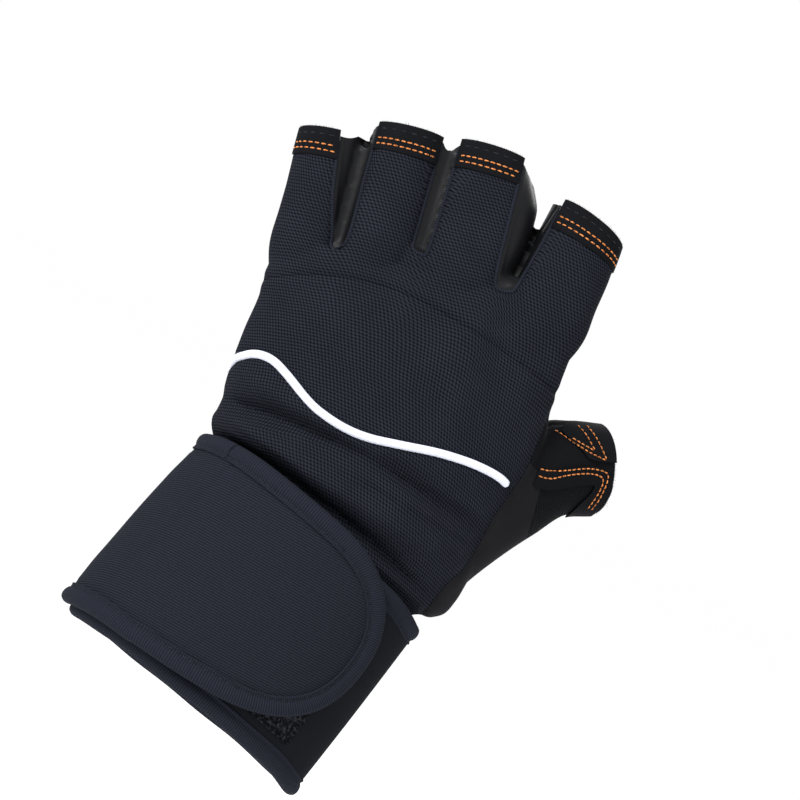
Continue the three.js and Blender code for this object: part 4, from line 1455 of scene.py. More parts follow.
@dataclass
class HandPanels:
    """The knit, leather and stretch panels of the hand, with their seams."""

    form: HandForm
    wardrobe: Wardrobe
    voxel: float = 0.85
    gap: float = 0.1

    def build(self) -> FaceFinder:
        """Cuts all panels out of the worn form.

        Returns:
            A finder for the outer face.
        """
        form, look = self.form, self.wardrobe
        voxel = self.voxel
        outer = form.solid("outer_form", 0, voxel)
        self.press_seams(outer)
        finder = FaceFinder(outer)
        inner = form.solid("inner_form", form.wall, voxel * 1.5)
        cut(outer, inner, Cut.REMOVE)
        self.skin = outer
        self.trim_ends()
        for row in form.FOURCHETTES:
            name = f"fourchette_{row[0].value}_{row[1].value}"
            panel = self.take(name, form.fourchette_outline(*row))
            cut(panel, prism(form.fourchette_end(*row[:4])), Cut.REMOVE)
            self.finish(panel, look.coated, name)
        palm = copy_of(self.skin, "palm_leather")
        cut(palm, form.palm_cutter(0), Cut.KEEP)
        cut(self.skin, form.palm_cutter(self.gap), Cut.REMOVE)
        self.finish(palm, look.microfibre, "palm_panel")
        for finger in form.fingers.values():
            self.trim_finger(finger, form.hem_height + self.gap, 0.9)
        self.knit_panels()
        self.thumb_panels()
        return finder

    def press_seams(self, outer: Piece) -> None:
        """Presses the seams into the worn form, and puckers the cloth beside them.

        Args:
            outer: The worn form, as one skin.
        """
        form = self.form
        points, normals = points_of(outer), normals_of(outer)
        flat = points[:, [0, 2]]
        back = smoothstep(-normals[:, 1], -0.25, 0.35)
        depth = np.zeros(len(points))
        for shares, deep, wide in ((form.KNUCKLE_SEAM, 0.75, 1.1), (form.KNIT_EDGE, 0.6, 1.0),
                                   (form.PIPING_SEAM, 0.5, 2.2)):
            distance = line_distance(flat, form.line(shares, 3.0))
            pucker = 0.18 * np.exp(-((distance - 2.6) / 1.3) ** 2)
            depth += back * (deep * np.exp(-(distance / wide) ** 2) - pucker)
        for row in form.FOURCHETTES:
            outline = form.fourchette_outline(*row)[::3]
            distance = line_distance(flat, outline)
            depth += 0.5 * back * np.exp(-(distance / 0.9) ** 2)
            depth += 0.7 * inside(flat, outline) * smoothstep(distance, 0, 2.5) * back
        side = line_distance(points[:, :2], form.palm_line(0))
        depth += 0.6 * np.exp(-(side / 0.9) ** 2)
        x, z = points[:, 0], points[:, 2]
        ease = np.sin(x * 0.23 + 0.6 * np.sin(z * 0.11)) * np.sin(z * 0.19 + 1.3) * 0.16
        move_points(outer, points - normals * (depth + ease)[:, None])

    def trim_ends(self) -> None:
        """Cuts the skin off square at the ends of the fingers and the thumb."""
        for finger in self.form.fingers.values():
            self.trim_finger(finger, 0.0, 0.1)
        centre, out = self.form.thumb_hem()
        self.slice_off(centre, out, 24, 24)

    def trim_finger(self, finger: Finger, below: float, spare: float) -> None:
        """Removes what is left of the skin of a finger above a height.

        Args:
            finger: The finger.
            below: How far the cut lies below the hem's upper edge.
            spare: How far the cut reaches past the finger's sides.
        """
        share = 1 - below / finger.length
        bulge = min(1.0, (1 - share) / 0.4)
        ring = self.form.finger_ring(finger, share, 0)
        half = finger.width / 2
        centre = ring.mean(axis=0)
        out = np.cross(ring[0] - centre, ring[len(ring) // 4] - centre)
        right = half * (1 + finger.belly * bulge) + spare
        self.slice_off(centre, out / np.linalg.norm(out), half + spare, right)

    def slice_off(self, centre: Array, out: Array, left: float, right: float) -> None:
        """Removes what lies outwards of a plane, as far as a distance to the left and right.

        Args:
            centre: A point of the plane.
            out: The way outwards.
            left: How far to the left.
            right: How far to the right.
        """
        out = out if out[2] > 0 else -out
        side = np.cross([0, 1, 0], out)
        side /= np.linalg.norm(side)
        deep = np.cross(out, side)
        corners = [centre + side * a + b * deep * 24 + c * out
                   for c in (0, 14) for a, b in ((-left, -1), (right, -1), (right, 1), (-left, 1))]
        box = piece_of("slice", np.array(corners), [(0, 1, 2, 3), (7, 6, 5, 4), (0, 4, 5, 1), (1, 5, 6, 2),
                                                    (2, 6, 7, 3), (3, 7, 4, 0)])
        turned_out(box)
        cut(self.skin, box, Cut.REMOVE)

    def take(self, name: str, outline: Array) -> Piece:
        """Cuts a panel out of what is left of the skin.

        Args:
            name: The panel's name.
            outline: Its outline in x and z.

        Returns:
            The panel.
        """
        panel = copy_of(self.skin, name)
        cut(panel, prism(outline), Cut.KEEP)
        cut(self.skin, prism(grown(outline, self.gap)), Cut.REMOVE)
        return panel

    def finish(self, panel: Piece, material: bpy.types.Material, node: str) -> None:
        """Drops crumbs of a panel, names where it lies in flat cloth, and dresses it.

        Args:
            panel: The cut panel.
            material: Its material.
            node: The part that it stands for.
        """
        keep_largest(panel)
        set_flow(panel, self.form.flow(points_of(panel)))
        smooth_look(panel)
        dress(panel, material, [node])

    def knit_panels(self) -> None:
        """Cuts the three knit panels of the back along their seams."""
        form, look = self.form, self.wardrobe
        knuckle, piping = form.line(form.KNUCKLE_SEAM), form.line(form.PIPING_SEAM)
        edge = form.line(form.KNIT_EDGE)
        above, below = form.place(0, 1.6)[1], form.place(0, -0.5)[1]
        left = form.place(-2, 0)[0]
        outline = np.vstack([knuckle, [knuckle[-1][0], above], [knuckle[0][0], above]])
        panel = self.take("knuckle_knit", outline)
        self.finish(panel, look.knit, "knuckle_panel")
        upper = edge[edge[:, 1] > piping[-1][1]][::-1]
        outline = np.vstack([[[left, piping[0][1]]], piping, upper, [[edge[0][0], above], [left, above]]])
        panel = self.take("back_knit", outline)
        self.finish(panel, look.knit, "back_panel")
        lower = edge[(edge[:, 1] < piping[-1][1] + 0.6) & (edge[:, 1] > below)][::-1]
        outline = np.vstack([[[left, below], [lower[0][0], below]], lower, [[left, edge[0][1]]]])
        panel = self.take("wrist_knit", outline)
        self.finish(panel, look.knit, "wrist_panel")

    def thumb_panels(self) -> None:
        """Cuts the panels of the thumb and its ball."""
        form, look = self.form, self.wardrobe
        gusset = [(0.9, 0.56), (1.1, 0.53), (1.13, 0.46), (1.18, 0.35), (1.3, 0.15), (1.3, -0.3), (0.4, -0.3),
                  (0.4, 0.56)]
        stretch = [(1, 0.53), (1.2, 0.517), (1.293, 0.563), (1.38, 0.6), (1.45, 0.577), (1.41, 0.495),
                   (1.36, 0.4), (1.5, 0.1), (0.9, 0.1)]
        panel = self.take("side_lycra", np.array([form.place(*share) for share in gusset]))
        self.finish(panel, look.tricot, "side_gusset")
        panel = self.take("thumb_rib", np.array([form.place(*share) for share in stretch]))
        self.finish(panel, look.rib, "thumb_stretch")
        self.skin.name = "thumb_leather"
        self.finish(self.skin, look.microfibre, "thumb_back")


def keep_largest(piece: Piece) -> None:
    """Keeps the largest body of a cut piece.

    Args:
        piece: The cut piece.
    """
    only(piece)
    bpy.ops.object.mode_set(mode="EDIT")
    bpy.ops.mesh.select_all(action="SELECT")
    bpy.ops.mesh.separate(type="LOOSE")
    bpy.ops.object.mode_set(mode="OBJECT")
    parts = sorted(bpy.context.selected_objects, key=lambda o: len(o.data.polygons), reverse=True)
    if parts[0] != piece:
        best = parts[0].data
        parts[0].data, piece.data = piece.data, best
    for part in [p for p in parts if p != piece]:
        drop(part)
    only(piece)


@dataclass
class Hems:
    """The folded microfibre hems of the half fingers and their orange rows of stitches."""

    form: HandForm
    wardrobe: Wardrobe
    proud: float = 0.45
    wall: float = 1.3
    rows: tuple[float, float] = (3.7, 1.9)
    pitch: float = 2.15

    def build(self) -> None:
        """Makes a hem for each finger, then the stitches on all of them."""
        rows, palm_rows, dark_rows, tips = [], [], [], []
        for digit, finger in self.form.fingers.items():
            self.band(digit, finger)
            for height in self.rows:
                rows += self.row(digit, finger, height)
                palm_rows += self.row(digit, finger, height, True)
            dark_rows += self.row(digit, finger, self.form.hem_height - 2.3)
            tips += self.row(digit, finger, self.form.hem_height + 0.1)
        orange, dark = self.wardrobe.thread, self.wardrobe.dark_thread
        dress(stitches("hem_stitches", rows, self.pitch, length=1.7, width=0.5), orange)
        palm = stitches("palm_hem_stitches", palm_rows, self.pitch, length=1.65, width=0.55, seed=9)
        dress(palm, orange)
        dress(stitches("hem_running_stitches", dark_rows, pitch=3.4, length=2.0, width=0.4), dark)
        dress(frayed("hem_fray", tips, pitch=0.5, length=0.3), dark)

    def ring(self, finger: Finger, height: float, out: float) -> Array:
        """A ring round a finger at a height above the hem's lower edge, out of the knit's face."""
        share = 1 + (height - self.form.hem_height) / finger.length
        return self.form.finger_ring(finger, share, -out, 1.0, finger.belly and max(0.0, (1 - share) / 0.4))

    def band(self, digit: Digit, finger: Finger) -> None:
        """The folded band of one hem.

        Args:
            digit: Which finger.
            finger: The same finger's form.
        """
        form, top, out, deep = self.form, self.form.hem_height, self.proud, -self.wall
        profile = [(0.0, out * 0.5), (0.25, out), (3, out), (6, out), (top - 0.4, out), (top, out * 0.5),
                   (top + 0.15, -0.3), (top, deep + 0.4), (top - 0.5, deep), (4.0, deep), (0.0, deep)]
        loops = [self.ring(finger, height, off) for height, off in profile]
        faces = ring_faces(len(loops), len(loops[0]), True)
        made = piece_of(f"hem_band_{digit.value}", np.vstack(loops), faces)
        turned_out(made)
        cut(made, form.palm_cutter(0.1), Cut.REMOVE)
        for row in form.FOURCHETTES:
            if digit in row[:2]:
                cut(made, prism(grown(form.fourchette_outline(*row), 0.04)), Cut.REMOVE)
        keep_largest(made)
        smooth_look(made)
        dress(made, self.wardrobe.microfibre, [f"hem_{digit.value}"])

    def row(self, digit: Digit, finger: Finger, height: float, palm: bool = False
            ) -> list[tuple[Array, Array]]:
        """The way of a row of stitches across the back or the palm side of a hem.

        Args:
            digit: Which finger.
            finger: The same finger's form.
            height: How far it is above the hem's lower edge.
            palm: Whether it is the palm side.

        Returns:
            Points and normals of each run.
        """
        form = self.form
        out = 0.0 if palm else self.proud
        low, high = self.ring(finger, height, out), self.ring(finger, height, out + 1)
        normals = unit(high - low)
        side = low[:, 1] - form.cuff.top[1] - form.side_seam
        seen = side > 1.0 if palm else side < -0.6
        for row in form.FOURCHETTES:
            if digit in row[:2]:
                seen &= ~inside(low[:, [0, 2]], grown(form.fourchette_outline(*row), 0.5))
        order = run_of(seen)
        return [(low[order], normals[order])]


def frayed(name: str, rows: list[tuple[Array, Array]], pitch: float, length: float, seed: int = 11
           ) -> Piece:
    """Short loose fibres that stand off a cut edge.

    Args:
        name: The piece's name.
        rows: Points along the edge and the way out of the face there.
        pitch: Distance from fibre to fibre.
        length: Mean length of a fibre.
        seed: For the differences between fibres.

    Returns:
        The piece.
    """
    chance = np.random.default_rng(seed)
    vertices, faces = [], []
    for points, normals in rows:
        both = resampled(np.hstack([points, normals]), pitch)
        ways = np.gradient(both[:, :3], axis=0)
        for spot, way in zip(both, ways):
            normal = spot[3:] / np.linalg.norm(spot[3:])
            side = way / np.linalg.norm(way)
            up = np.cross(normal, side)
            up = up if up[2] > 0 else -up
            lean = up + side * chance.normal(0, 0.6) + normal * chance.normal(0.1, 0.35)
            tip = spot[:3] + lean * length * chance.lognormal(0, 0.5)
            root = spot[:3] - up * 0.5 - normal * 0.35
            thick = 0.09
            base = len(vertices)
            vertices += [root + side * thick, root - side * thick, root + normal * thick, tip]
            faces += [(base, base + 1, base + 3), (base + 1, base + 2, base + 3), (base + 2, base, base + 3),
                      (base + 2, base + 1, base)]
    return piece_of(name, np.array(vertices), faces)


@dataclass
class Trims:
    """Piping, seam welts and the thumb's sewn overlays."""

    form: HandForm
    wardrobe: Wardrobe
    finder: FaceFinder
    studio: "Studio"
    piping: float = 2.7
    overlay: float = 0.85
    welt: tuple[float, float] = (1.25, 1.05)
    strip_width: float = 6.0
    strip_gap: float = 0.2

    PATCH = ((1.07, 0.69), (1.233, 0.666), (1.3, 0.651), (1.36, 0.657), (1.6, 0.71), (1.6, 0.95),
             (1.07, 0.95))
    STRIP = ((1.06, 0.518), (1.155, 0.53), (1.26, 0.571), (1.362, 0.605), (1.435, 0.612), (1.468, 0.597),
             (1.477, 0.557), (1.452, 0.506), (1.41, 0.43))
    # Rows of stitches on the thumb: places in the photograph, 800 pixels wide, that are cast onto the leather
    THUMB_ROWS = (
        ((586.5, 425.5), (593.5, 434), (599, 443), (603, 451.5), (606.6, 460)),
        ((606, 460.5), (599.6, 457.4), (590.5, 453), (583, 448.5), (571.4, 441), (560, 433), (554, 430)),
        ((577.2, 425), (585.5, 434), (591.3, 444), (595, 450.5)),
        ((594, 450.8), (588, 447.2), (580.5, 443), (572, 437.8)),
        ((540, 468.8), (548.2, 470.9), (558.1, 471.1), (566.4, 470.5), (576.4, 469.5), (584.7, 468.7),
         (591.3, 468.8), (597.9, 469.9), (606.5, 472.4), (608.3, 476), (606.8, 483), (602.5, 493),
         (597.9, 501.2), (591, 510)),
        ((536.6, 475), (544, 477.9), (551.5, 478.8), (558.1, 477.5), (564.8, 475.9), (573.1, 474.6),
         (581.4, 473.8), (590.5, 473.8), (597.9, 475.2), (603.2, 478.5), (602.6, 484), (599, 492),
         (594, 500), (587.5, 508.5)),
    )

    def build(self) -> None:
        """Makes the piping, the welts, the overlays and their stitches."""
        self.white_piping()
        self.welts()
        self.overlays()
        self.thumb_stitches()

    def white_piping(self) -> None:
        """The white cord in the seam across the back."""
        form = self.form
        line = form.line(form.PIPING_SEAM, 1.0)
        points, normals = self.finder.from_back(line[3:])
        lead_points, lead_normals = [], []
        for deep in (0.16, -0.1, -0.3):
            y = form.cuff.top[1] + deep * form.thickness / 2
            found = self.finder.hit((-150, y, line[0][1] + (0.2 - deep) * 3.2), (1, 0, 0))
            if found:
                lead_points.append(found[0])
                lead_normals.append(found[1])
        path = np.vstack([lead_points, points[1:]])
        ups = np.vstack([lead_normals, normals[1:]])
        path, ups = eased(path[::3], ups[::3], 0.7)
        profile = round_profile(self.piping, self.piping * 0.85, 16)
        made = swept("piping_cord", path + ups * 0.25, ups, profile, taper=1.4)
        smooth_look(made, 70)
        dress(made, self.wardrobe.piping, ["seam_piping"])

    def welts(self) -> None:
        """The turned edges that stand up beside the strips between the fingers."""
        form = self.form
        for row in form.FOURCHETTES:
            left, right, left_seam, right_seam = row[:4]
            outline = form.fourchette_outline(*row)
            tops = [form.beside(form.fingers[left], 0.99, left_seam[1])[1],
                    form.beside(form.fingers[right], 0.99, right_seam[1])[1]]
            middle = len(outline) // 2
            keep = np.array([z < tops[0 if i < middle else 1] for i, (_, z) in enumerate(outline)])
            points, normals = self.finder.from_back(grown(outline, 0.35)[keep])
            near = points[:, 1] < form.cuff.top[1] + 2
            path, ups = eased(points[near][::2], normals[near][::2], 0.7)
            profile = round_profile(*self.welt, 10)
            made = swept(f"welt_{left.value}_{right.value}", path + ups * 0.12, ups, profile, taper=1.0)
            smooth_look(made, 70)
            dress(made, self.wardrobe.tape)

    def ribbon(self, width: float) -> Array:
        """The outline in x and z of the bent strip on the thumb.

        Args:
            width: The strip's width.

        Returns:
            The outline.
        """
        line = self.form.line(self.STRIP, 1.2)
        way = unit(np.gradient(line, axis=0))
        off = np.stack([-way[:, 1], way[:, 0]], axis=1) * width / 2
        return np.vstack([line + off, (line - off)[::-1]])

    def overlays(self) -> None:
        """The patch and the bent strip on the back of the thumb."""
        form = self.form
        layer = loft("layer", form.thumb(-self.overlay, 0))
        inner = loft("inner", form.thumb(-0.02, 0.6))
        cut(layer, inner, Cut.REMOVE)
        cut(layer, loft("body", form.body(-0.3)), Cut.REMOVE)
        cut(layer, form.palm_cutter(0.2), Cut.REMOVE)
        strip = copy_of(layer, "thumb_strip_leather")
        cut(strip, prism(self.ribbon(self.strip_width)), Cut.KEEP)
        patch = copy_of(layer, "thumb_patch_leather")
        drop(layer)
        cut(patch, prism(np.array([form.place(*share) for share in self.PATCH])), Cut.KEEP)
        cut(patch, prism(self.ribbon(self.strip_width + 2 * self.strip_gap)), Cut.REMOVE)
        for piece, node in ((strip, "thumb_strip"), (patch, "thumb_patch")):
            keep_largest(piece)
            smooth_look(piece)
            dress(piece, self.wardrobe.microfibre, [node])

    def thumb_stitches(self) -> None:
        """The double orange rows on the thumb, and the loose fibres of its hem."""
        form = self.form
        leather = FaceFinder(*(bpy.data.objects[name] for name in
                               ("thumb_strip_leather", "thumb_patch_leather", "thumb_leather")))
        rows = [leather.seen([self.studio.ray(*place) for place in through(row, 2.0)])
                for row in self.THUMB_ROWS]
        lifted = [(points + normals * 0.05, normals) for points, normals in rows]
        sewn = stitches("thumb_stitches", lifted, pitch=1.75, length=1.35, width=0.48, seed=5)
        dress(sewn, self.wardrobe.thread)
        centre = form.thumb_hem()[0]
        ring = form.thumb(-0.4, 0)[-1]
        order = run_of(ring[:, 1] < centre[1] + 2)
        edge = [(ring[order], unit(ring - centre)[order])]
        fibres = frayed("thumb_fray", edge, pitch=0.5, length=0.3, seed=4)
        dress(fibres, self.wardrobe.dark_thread)


@dataclass
class WristCuff:
    """The neoprene cuff with its bindings, the pile pad and the round-ended strap."""

    form: CuffForm
    wardrobe: Wardrobe
    wall: float = 3.0
    tape: float = 0.9
    tape_width: float = 6.5
    lift: float = 2.0
    strap_wall: float = 3.0
    strap_in: float = 1.5
    strap_height: float = 69.5
    strap_start: float = 34.0
    strap_corner: float = 3.0
    pad_across: tuple[float, float] = (-14.0, 32.0)
    pad_up: tuple[float, float] = (9.0, 57.0)
    around: int = 300

    # The strap's outline on the back: distance towards the thumb and height along the cuff
    TONGUE = ((-36, 71.5), (-20, 71.9), (-2, 71.9), (11, 70.9), (21.5, 67.4), (29.2, 61.5), (34.4, 53.2),
              (36.4, 43.4), (35.8, 31.8), (32.0, 21.6), (24.4, 13.6), (13, 8.4), (-2, 5.4), (-20, 3.2),
              (-36, 2.0))
    # The tape's outer face beside its inner edge: distance from that edge, height over the wall
    LIP = ((0, 0.1), (0.2, 0.42), (0.5, 0.5), (0.8, 0.3), (1.2, 0.1), (1.6, 0.2), (2.1, 0.6))
    # Then its puffy rim: distance from the folded edge, height over the tape's own thickness
    BULGE = ((3.6, 0), (2.8, 0.12), (2.0, 0.08), (1.2, -0.15))
    # The seam across the strap near the little finger, in the outline's terms
    SEAM = ((-34.5, 66), (-36.2, 41), (-39.3, 15))

    def build(self) -> None:
        """Makes the cuff's layer, bindings, pad and strap."""
        self.layer()
        self.edge_tape(0.0, 1, "cuff_binding_bottom")
        self.edge_tape(self.form.height, -1, "cuff_binding_top")
        self.pad()
        self.strap()

    def run_at(self, across: float, out: float, palm: bool = False) -> float:
        """Distance round the cuff to a place seen from the back, or from the palm.

        Args:
            across: Where it is seen, to the right of the middle.
            out: How far off the cuff it lies.
            palm: Whether it is seen from the palm.

        Returns:
            The distance.
        """
        form = self.form
        angles = np.linspace(0, math.pi, 800) if palm else np.linspace(-math.pi, 0, 800)
        nx, ny = np.cos(angles) / form.width, np.sin(angles) / form.depth
        x = form.width / 2 * np.cos(angles) + nx / np.hypot(nx, ny) * out
        order = np.argsort(x)
        angle = float(np.interp(across, x[order], angles[order]))
        angle = angle if angle <= 0.5 * math.pi else angle - 2 * math.pi
        run = float(np.interp(angle, form.angles, form.run))
        return run - form.girth if run > 0.5 * form.girth or (palm and run > 0) else run

    def round_band(self, name: str, profile: Array) -> Piece:
        """A closed band round the cuff: a loop of out and up distances, drawn round.

        Args:
            name: The piece's name.
            profile: The loop.

        Returns:
            The piece.
        """
        form, size = self.form, len(profile)
        runs = np.linspace(-form.girth / 2, form.girth / 2, self.around, endpoint=False)
        rings = [form.wrap(np.full(size, run), profile[:, 1] + self.waver(run), profile[:, 0])
                 for run in runs]
        made = piece_of(name, np.vstack(rings), ring_faces(len(rings), size, True))
        turned_out(made)
        flow = np.stack([np.repeat(runs, size), np.tile(lengths(profile), len(runs))], axis=1)
        set_flow(made, flow)
        smooth_look(made, 50)
        return made

    def waver(self, run: float) -> float:
        """How far an edge wanders up or down at a place round the cuff."""
        turns = run / self.form.girth * 2 * math.pi
        return 0.25 * math.sin(3 * turns + 0.7) + 0.15 * math.sin(8 * turns)

    def layer(self) -> None:
        """The neoprene tube."""
        low, high = self.tape + 0.3, self.form.height - self.tape - 0.3
        ups = np.linspace(low, high, 40)
        swell = 0.25 * np.sin(np.linspace(0, math.pi, 40))
        outer = np.stack([swell, ups], axis=1)
        inner = np.stack([np.full(12, -self.wall), np.linspace(high, low, 12)], axis=1)
        made = self.round_band("cuff_neoprene", np.vstack([outer, inner]))
        dress(made, self.wardrobe.neoprene_cuff, ["wrist_cuff"])

    def tape_profile(self, wall: float) -> Array:
        """The folded tape's section: distance in from the edge and height over the middle of the wall.

        Args:
            wall: How thick the wall is that it folds over.

        Returns:
            The closed section.
        """
        half, tape, wide = wall / 2, self.tape, self.tape_width
        lip = [(wide - inwards, half + over) for inwards, over in self.LIP]
        bulge = [(inwards, half + tape + over) for inwards, over in self.BULGE]
        outer = lip + bulge + [(0.6, half + 0.35), (0.15, half * 0.75), (-0.08, half * 0.35), (-0.1, 0)]
        mirrored = [(a, -min(b, half + tape)) for a, b in outer[::-1]][1:]
        inner = [(wide, -half - 0.05), (1.2, -half - 0.05), (0.9, 0), (1.2, half + 0.05), (wide, half + 0.05)]
        return np.array(outer + mirrored + inner)

    def edge_tape(self, edge: float, inwards: int, node: str) -> None:
        """The folded tape along one edge of the cuff.

        Args:
            edge: The height of that edge.
            inwards: One where the cuff lies above it, or minus one.
            node: The part that it stands for.
        """
        section = self.tape_profile(self.wall)
        profile = np.stack([section[:, 1] - self.wall / 2, edge + inwards * section[:, 0]], axis=1)
        made = self.round_band(node.replace("cuff_binding", "cuff_tape"), profile)
        dress(made, self.wardrobe.tape, [node])

    def laid(self, name: str, outline: Array, low: float, high: float, step: float) -> Piece:
        """A flat slab cut to an outline, ready to be laid round the cuff.

        Args:
            name: The piece's name.
            outline: The outline: distance round and height.
            low: Distance of its inner face out of the cuff.
            high: Distance of its outer face.
            step: The size of its squares.

        Returns:
            The piece.
        """
        lo, hi = outline.min(axis=0) - 2, outline.max(axis=0) + 2
        size = hi - lo
        only(*bpy.context.scene.collection.objects[:1])
        count = (size / step).astype(int)
        bpy.ops.mesh.primitive_grid_add(x_subdivisions=int(count[0]), y_subdivisions=int(count[1]), size=1)
        slab = bpy.context.view_layer.objects.active
        slab.name = slab.data.name = name
        flat = points_of(slab) * MM
        at = lo + (flat[:, :2] + 0.5) * size
        move_points(slab, np.stack([at[:, 0], np.full(len(at), low), at[:, 1]], axis=1))
        only(slab)
        bpy.ops.object.mode_set(mode="EDIT")
        bpy.ops.mesh.select_all(action="SELECT")
        bpy.ops.mesh.extrude_region_move(TRANSFORM_OT_translate={"value": (0, (high - low) * MM, 0)})
        bpy.ops.object.mode_set(mode="OBJECT")
        turned_out(slab)
        cut(slab, prism(outline, low - 5, high + 5), Cut.KEEP)
        return slab

    def lay(self, piece: Piece) -> None:
        """Lays a flat piece round the cuff, keeping where it lay flat for the weave.

        Args:
            piece: The flat piece.
        """
        points = points_of(piece)
        set_flow(piece, points[:, [0, 2]])
        move_points(piece, self.form.wrap(points[:, 0], points[:, 2], points[:, 1]))
        turned_out(piece)
        smooth_look(piece)

    def pad(self) -> None:
        """The pile pad that the strap closes on."""
        (left, right), (low, high) = (self.run_at(across, 0.5) for across in self.pad_across), self.pad_up
        outline = np.array([[left, low], [right, low], [right, high], [left, high]])
        made = self.laid("pile_pad", outline, low=0.3, high=1.3, step=2.0)
        self.lay(made)
        dress(made, self.wardrobe.pile, ["loop_pad"])

    def strap_outline(self) -> Array:
        """The strap's closed outline in the flat: distance round and height.

        Returns:
            The outline.
        """
        out = self.strap_in + self.strap_wall / 2
        back = [(self.run_at(across, out), up) for across, up in self.TONGUE]
        end = self.run_at(self.strap_start, out, palm=True)
        top, low, corner = self.lift + self.strap_height, self.lift, self.strap_corner
        palm = [(end + 26, low), (end + corner, low), (end, low + corner), (end, (top + low) / 2),
                (end, top - corner), (end + corner, top), (end + 26, top)]
        return through(back + palm + back[:1], 1.0)[:-1]

    def strap(self) -> None:
        """The strap's neoprene, its folded tape and the line of stitches inside it."""
        outline = self.strap_outline()
        low, high = self.strap_in, self.strap_in + self.strap_wall
        step = 0.9
        face = self.laid("strap_neoprene", grown(outline, -1.3), low, high, step)
        points = points_of(face)
        flat = points[:, [0, 2]]
        edge = line_distance(flat, np.vstack([outline, outline[:1]])[::3])
        outer = points[:, 1] > (low + high) / 2
        groove = 0.35 * np.exp(-((edge - self.tape_width - 0.4) / 0.8) ** 2)
        crown = 0.55 * smoothstep(edge, self.tape_width, 18) - groove
        seam = line_distance(flat, through([(self.run_at(across, 4), up) for across, up in self.SEAM], 4))
        crown -= 0.45 * np.exp(-(seam / 0.75) ** 2)
        crown += 0.12 * np.sin(flat[:, 0] * 0.21) * np.sin(flat[:, 1] * 0.17 + 1)
        points[:, 1] += np.where(outer, crown, 0)
        move_points(face, points)
        self.lay(face)
        dress(face, self.wardrobe.neoprene, ["wrist_strap"])
        self.strap_tape(outline, low, high)

    def strap_tape(self, outline: Array, low: float, high: float) -> None:
        """The folded tape round the strap, with its stitches.

        Args:
            outline: The strap's outline.
            low: The strap's inner face, off the cuff.
            high: The strap's outer face, off the cuff.
        """
        form = self.form
        section = self.tape_profile(self.strap_wall)
        middle = (low + high) / 2
        rings, flows = [], []
        run = lengths(np.vstack([outline, outline[:1]]))
        inward = grown(outline, -1.0) - outline
        span = lengths(section)
        for i, at in enumerate(outline):
            places = at + section[:, :1] * inward[i]
            rings.append(form.wrap(places[:, 0], places[:, 1], middle + section[:, 1]))
            flows.append(np.stack([np.full(len(section), run[i]), span], axis=1))
        made = piece_of("strap_tape", np.vstack(rings), ring_faces(len(rings), len(section), True))
        turned_out(made)
        set_flow(made, np.vstack(flows))
        smooth_look(made, 50)
        dress(made, self.wardrobe.tape, ["strap_binding"])
        sewn = grown(outline, -(self.tape_width - 1.2))
        sewn = np.vstack([sewn, sewn[:1]])
        face = form.wrap(sewn[:, 0], sewn[:, 1], np.full(len(sewn), high + 0.12))
        above = form.wrap(sewn[:, 0], sewn[:, 1], np.full(len(sewn), high + 1.12))
        row = stitches("strap_stitches", [(face, above - face)], pitch=2.6, length=1.7, width=0.35, seed=8)
        dress(row, self.wardrobe.dark_thread)


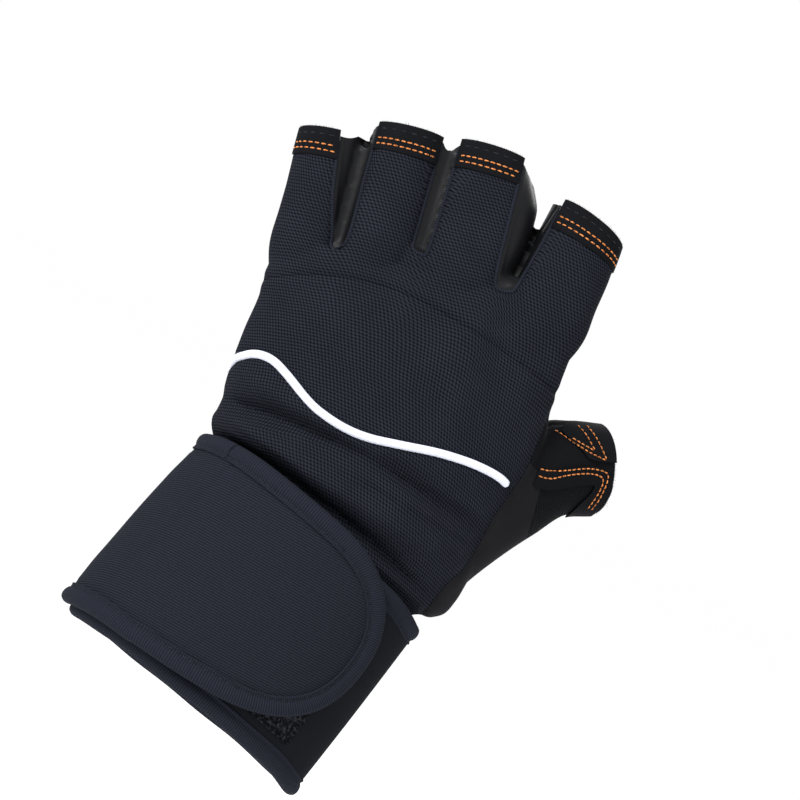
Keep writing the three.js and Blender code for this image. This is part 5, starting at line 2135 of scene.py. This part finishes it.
@dataclass
class Studio:
    """The floor, the lights and the camera."""

    middle: tuple[float, float, float] = (0.01653, 0.0035, 0.11785)
    distance: float = 0.9
    roll: float = 28.0
    lens: float = 127.17
    sensor: float = 36.0
    pixels: int = 800
    floor: float = -0.2

    # Name, place and side in metres, power in watts
    LIGHTS = (
        ("key_softbox", (-0.75, -0.75, 1.0), 0.6, 30), ("fill_softbox", (0.9, -0.8, 0.35), 1.0, 4),
        ("back_softbox", (0.2, 0.9, 0.9), 0.7, 12),
    )

    def build(self) -> None:
        """Sets the scene."""
        self.camera()
        self.ground()
        for row in self.LIGHTS:
            self.light(*row)
        world = bpy.data.worlds.new("soft_studio")
        bpy.context.scene.world = world
        world.use_nodes = True
        background = world.node_tree.nodes["Background"]
        background.inputs[0].default_value = (1, 1, 1, 1)
        background.inputs[1].default_value = 1.0
        bpy.context.scene.view_settings.view_transform = "Standard"

    def camera(self) -> None:
        """The camera, level with the hand and rolled as the photograph is."""
        lens = bpy.data.cameras.new("camera")
        lens.lens = self.lens
        lens.sensor_width = self.sensor
        lens.clip_start = 0.01
        made = bpy.data.objects.new("camera", lens)
        c, s = turn(self.roll)
        x, y, z = self.middle
        made.matrix_world = Matrix(((c, -s, 0, x), (0, 0, -1, y - self.distance), (s, c, 0, z), (0, 0, 0, 1)))
        bpy.context.scene.collection.objects.link(made)
        bpy.context.scene.camera = made

    def ray(self, right: float, down: float) -> tuple[Array, Array]:
        """The camera's ray through a place in the square picture, in millimetres.

        Args:
            right: Pixels from the left edge.
            down: Pixels from the top edge.

        Returns:
            Start and direction.
        """
        c, s = turn(self.roll)
        start = (np.array(self.middle) - [0, self.distance, 0]) / MM
        span, middle = self.lens / self.sensor * self.pixels, self.pixels / 2
        sideways, upwards = (right - middle) / span, (middle - down) / span
        way = np.array([0, 1, 0]) + np.array([c, 0, s]) * sideways + np.array([-s, 0, c]) * upwards
        return start, way / np.linalg.norm(way)

    def ground(self) -> None:
        """A wide pale floor below the glove."""
        angles = np.arange(96) / 96 * 2 * math.pi
        rings = [np.stack([np.cos(angles) * r, np.sin(angles) * r, np.full(96, self.floor / MM)], axis=1)
                 for r in (5, 300, 1500, 9000, 40000)]
        faces: list[Sequence[int]] = list(ring_faces(len(rings), 96)) + [range(96)]
        made = piece_of("floor", np.vstack(rings), faces)
        # Matt white paint without any shine, so that no horizon shows
        made.data.materials.append(Finish("painted_floor", "FFFFFF", "FEFEFE", 0.9, 0.0, 0.02).material())

    def light(self, name: str, place: tuple[float, float, float], size: float, power: float) -> None:
        """A soft square light that faces the glove.

        Args:
            name: The light's name.
            place: Where it is, in metres.
            size: Its side, in metres.
            power: Its power, in watts.
        """
        lamp = bpy.data.lights.new(name, "AREA")
        lamp.shape = "SQUARE"
        lamp.size = size
        lamp.energy = power
        made = bpy.data.objects.new(name, lamp)
        made.location = place
        way = Vector(self.middle) - Vector(place)
        made.rotation_euler = way.to_track_quat("-Z", "Y").to_euler()
        bpy.context.scene.collection.objects.link(made)


def main() -> None:
    """Builds the glove and its studio."""
    logging.basicConfig(level=logging.INFO, format="%(name)s: %(message)s", stream=sys.stdout)
    studio = Studio()
    studio.build()
    wardrobe = Wardrobe()
    cuff = CuffForm()
    hand = HandForm(cuff)
    finder = HandPanels(hand, wardrobe).build()
    Hems(hand, wardrobe).build()
    Trims(hand, wardrobe, finder, studio).build()
    WristCuff(cuff, wardrobe).build()


if __name__ == "__main__":
    main()
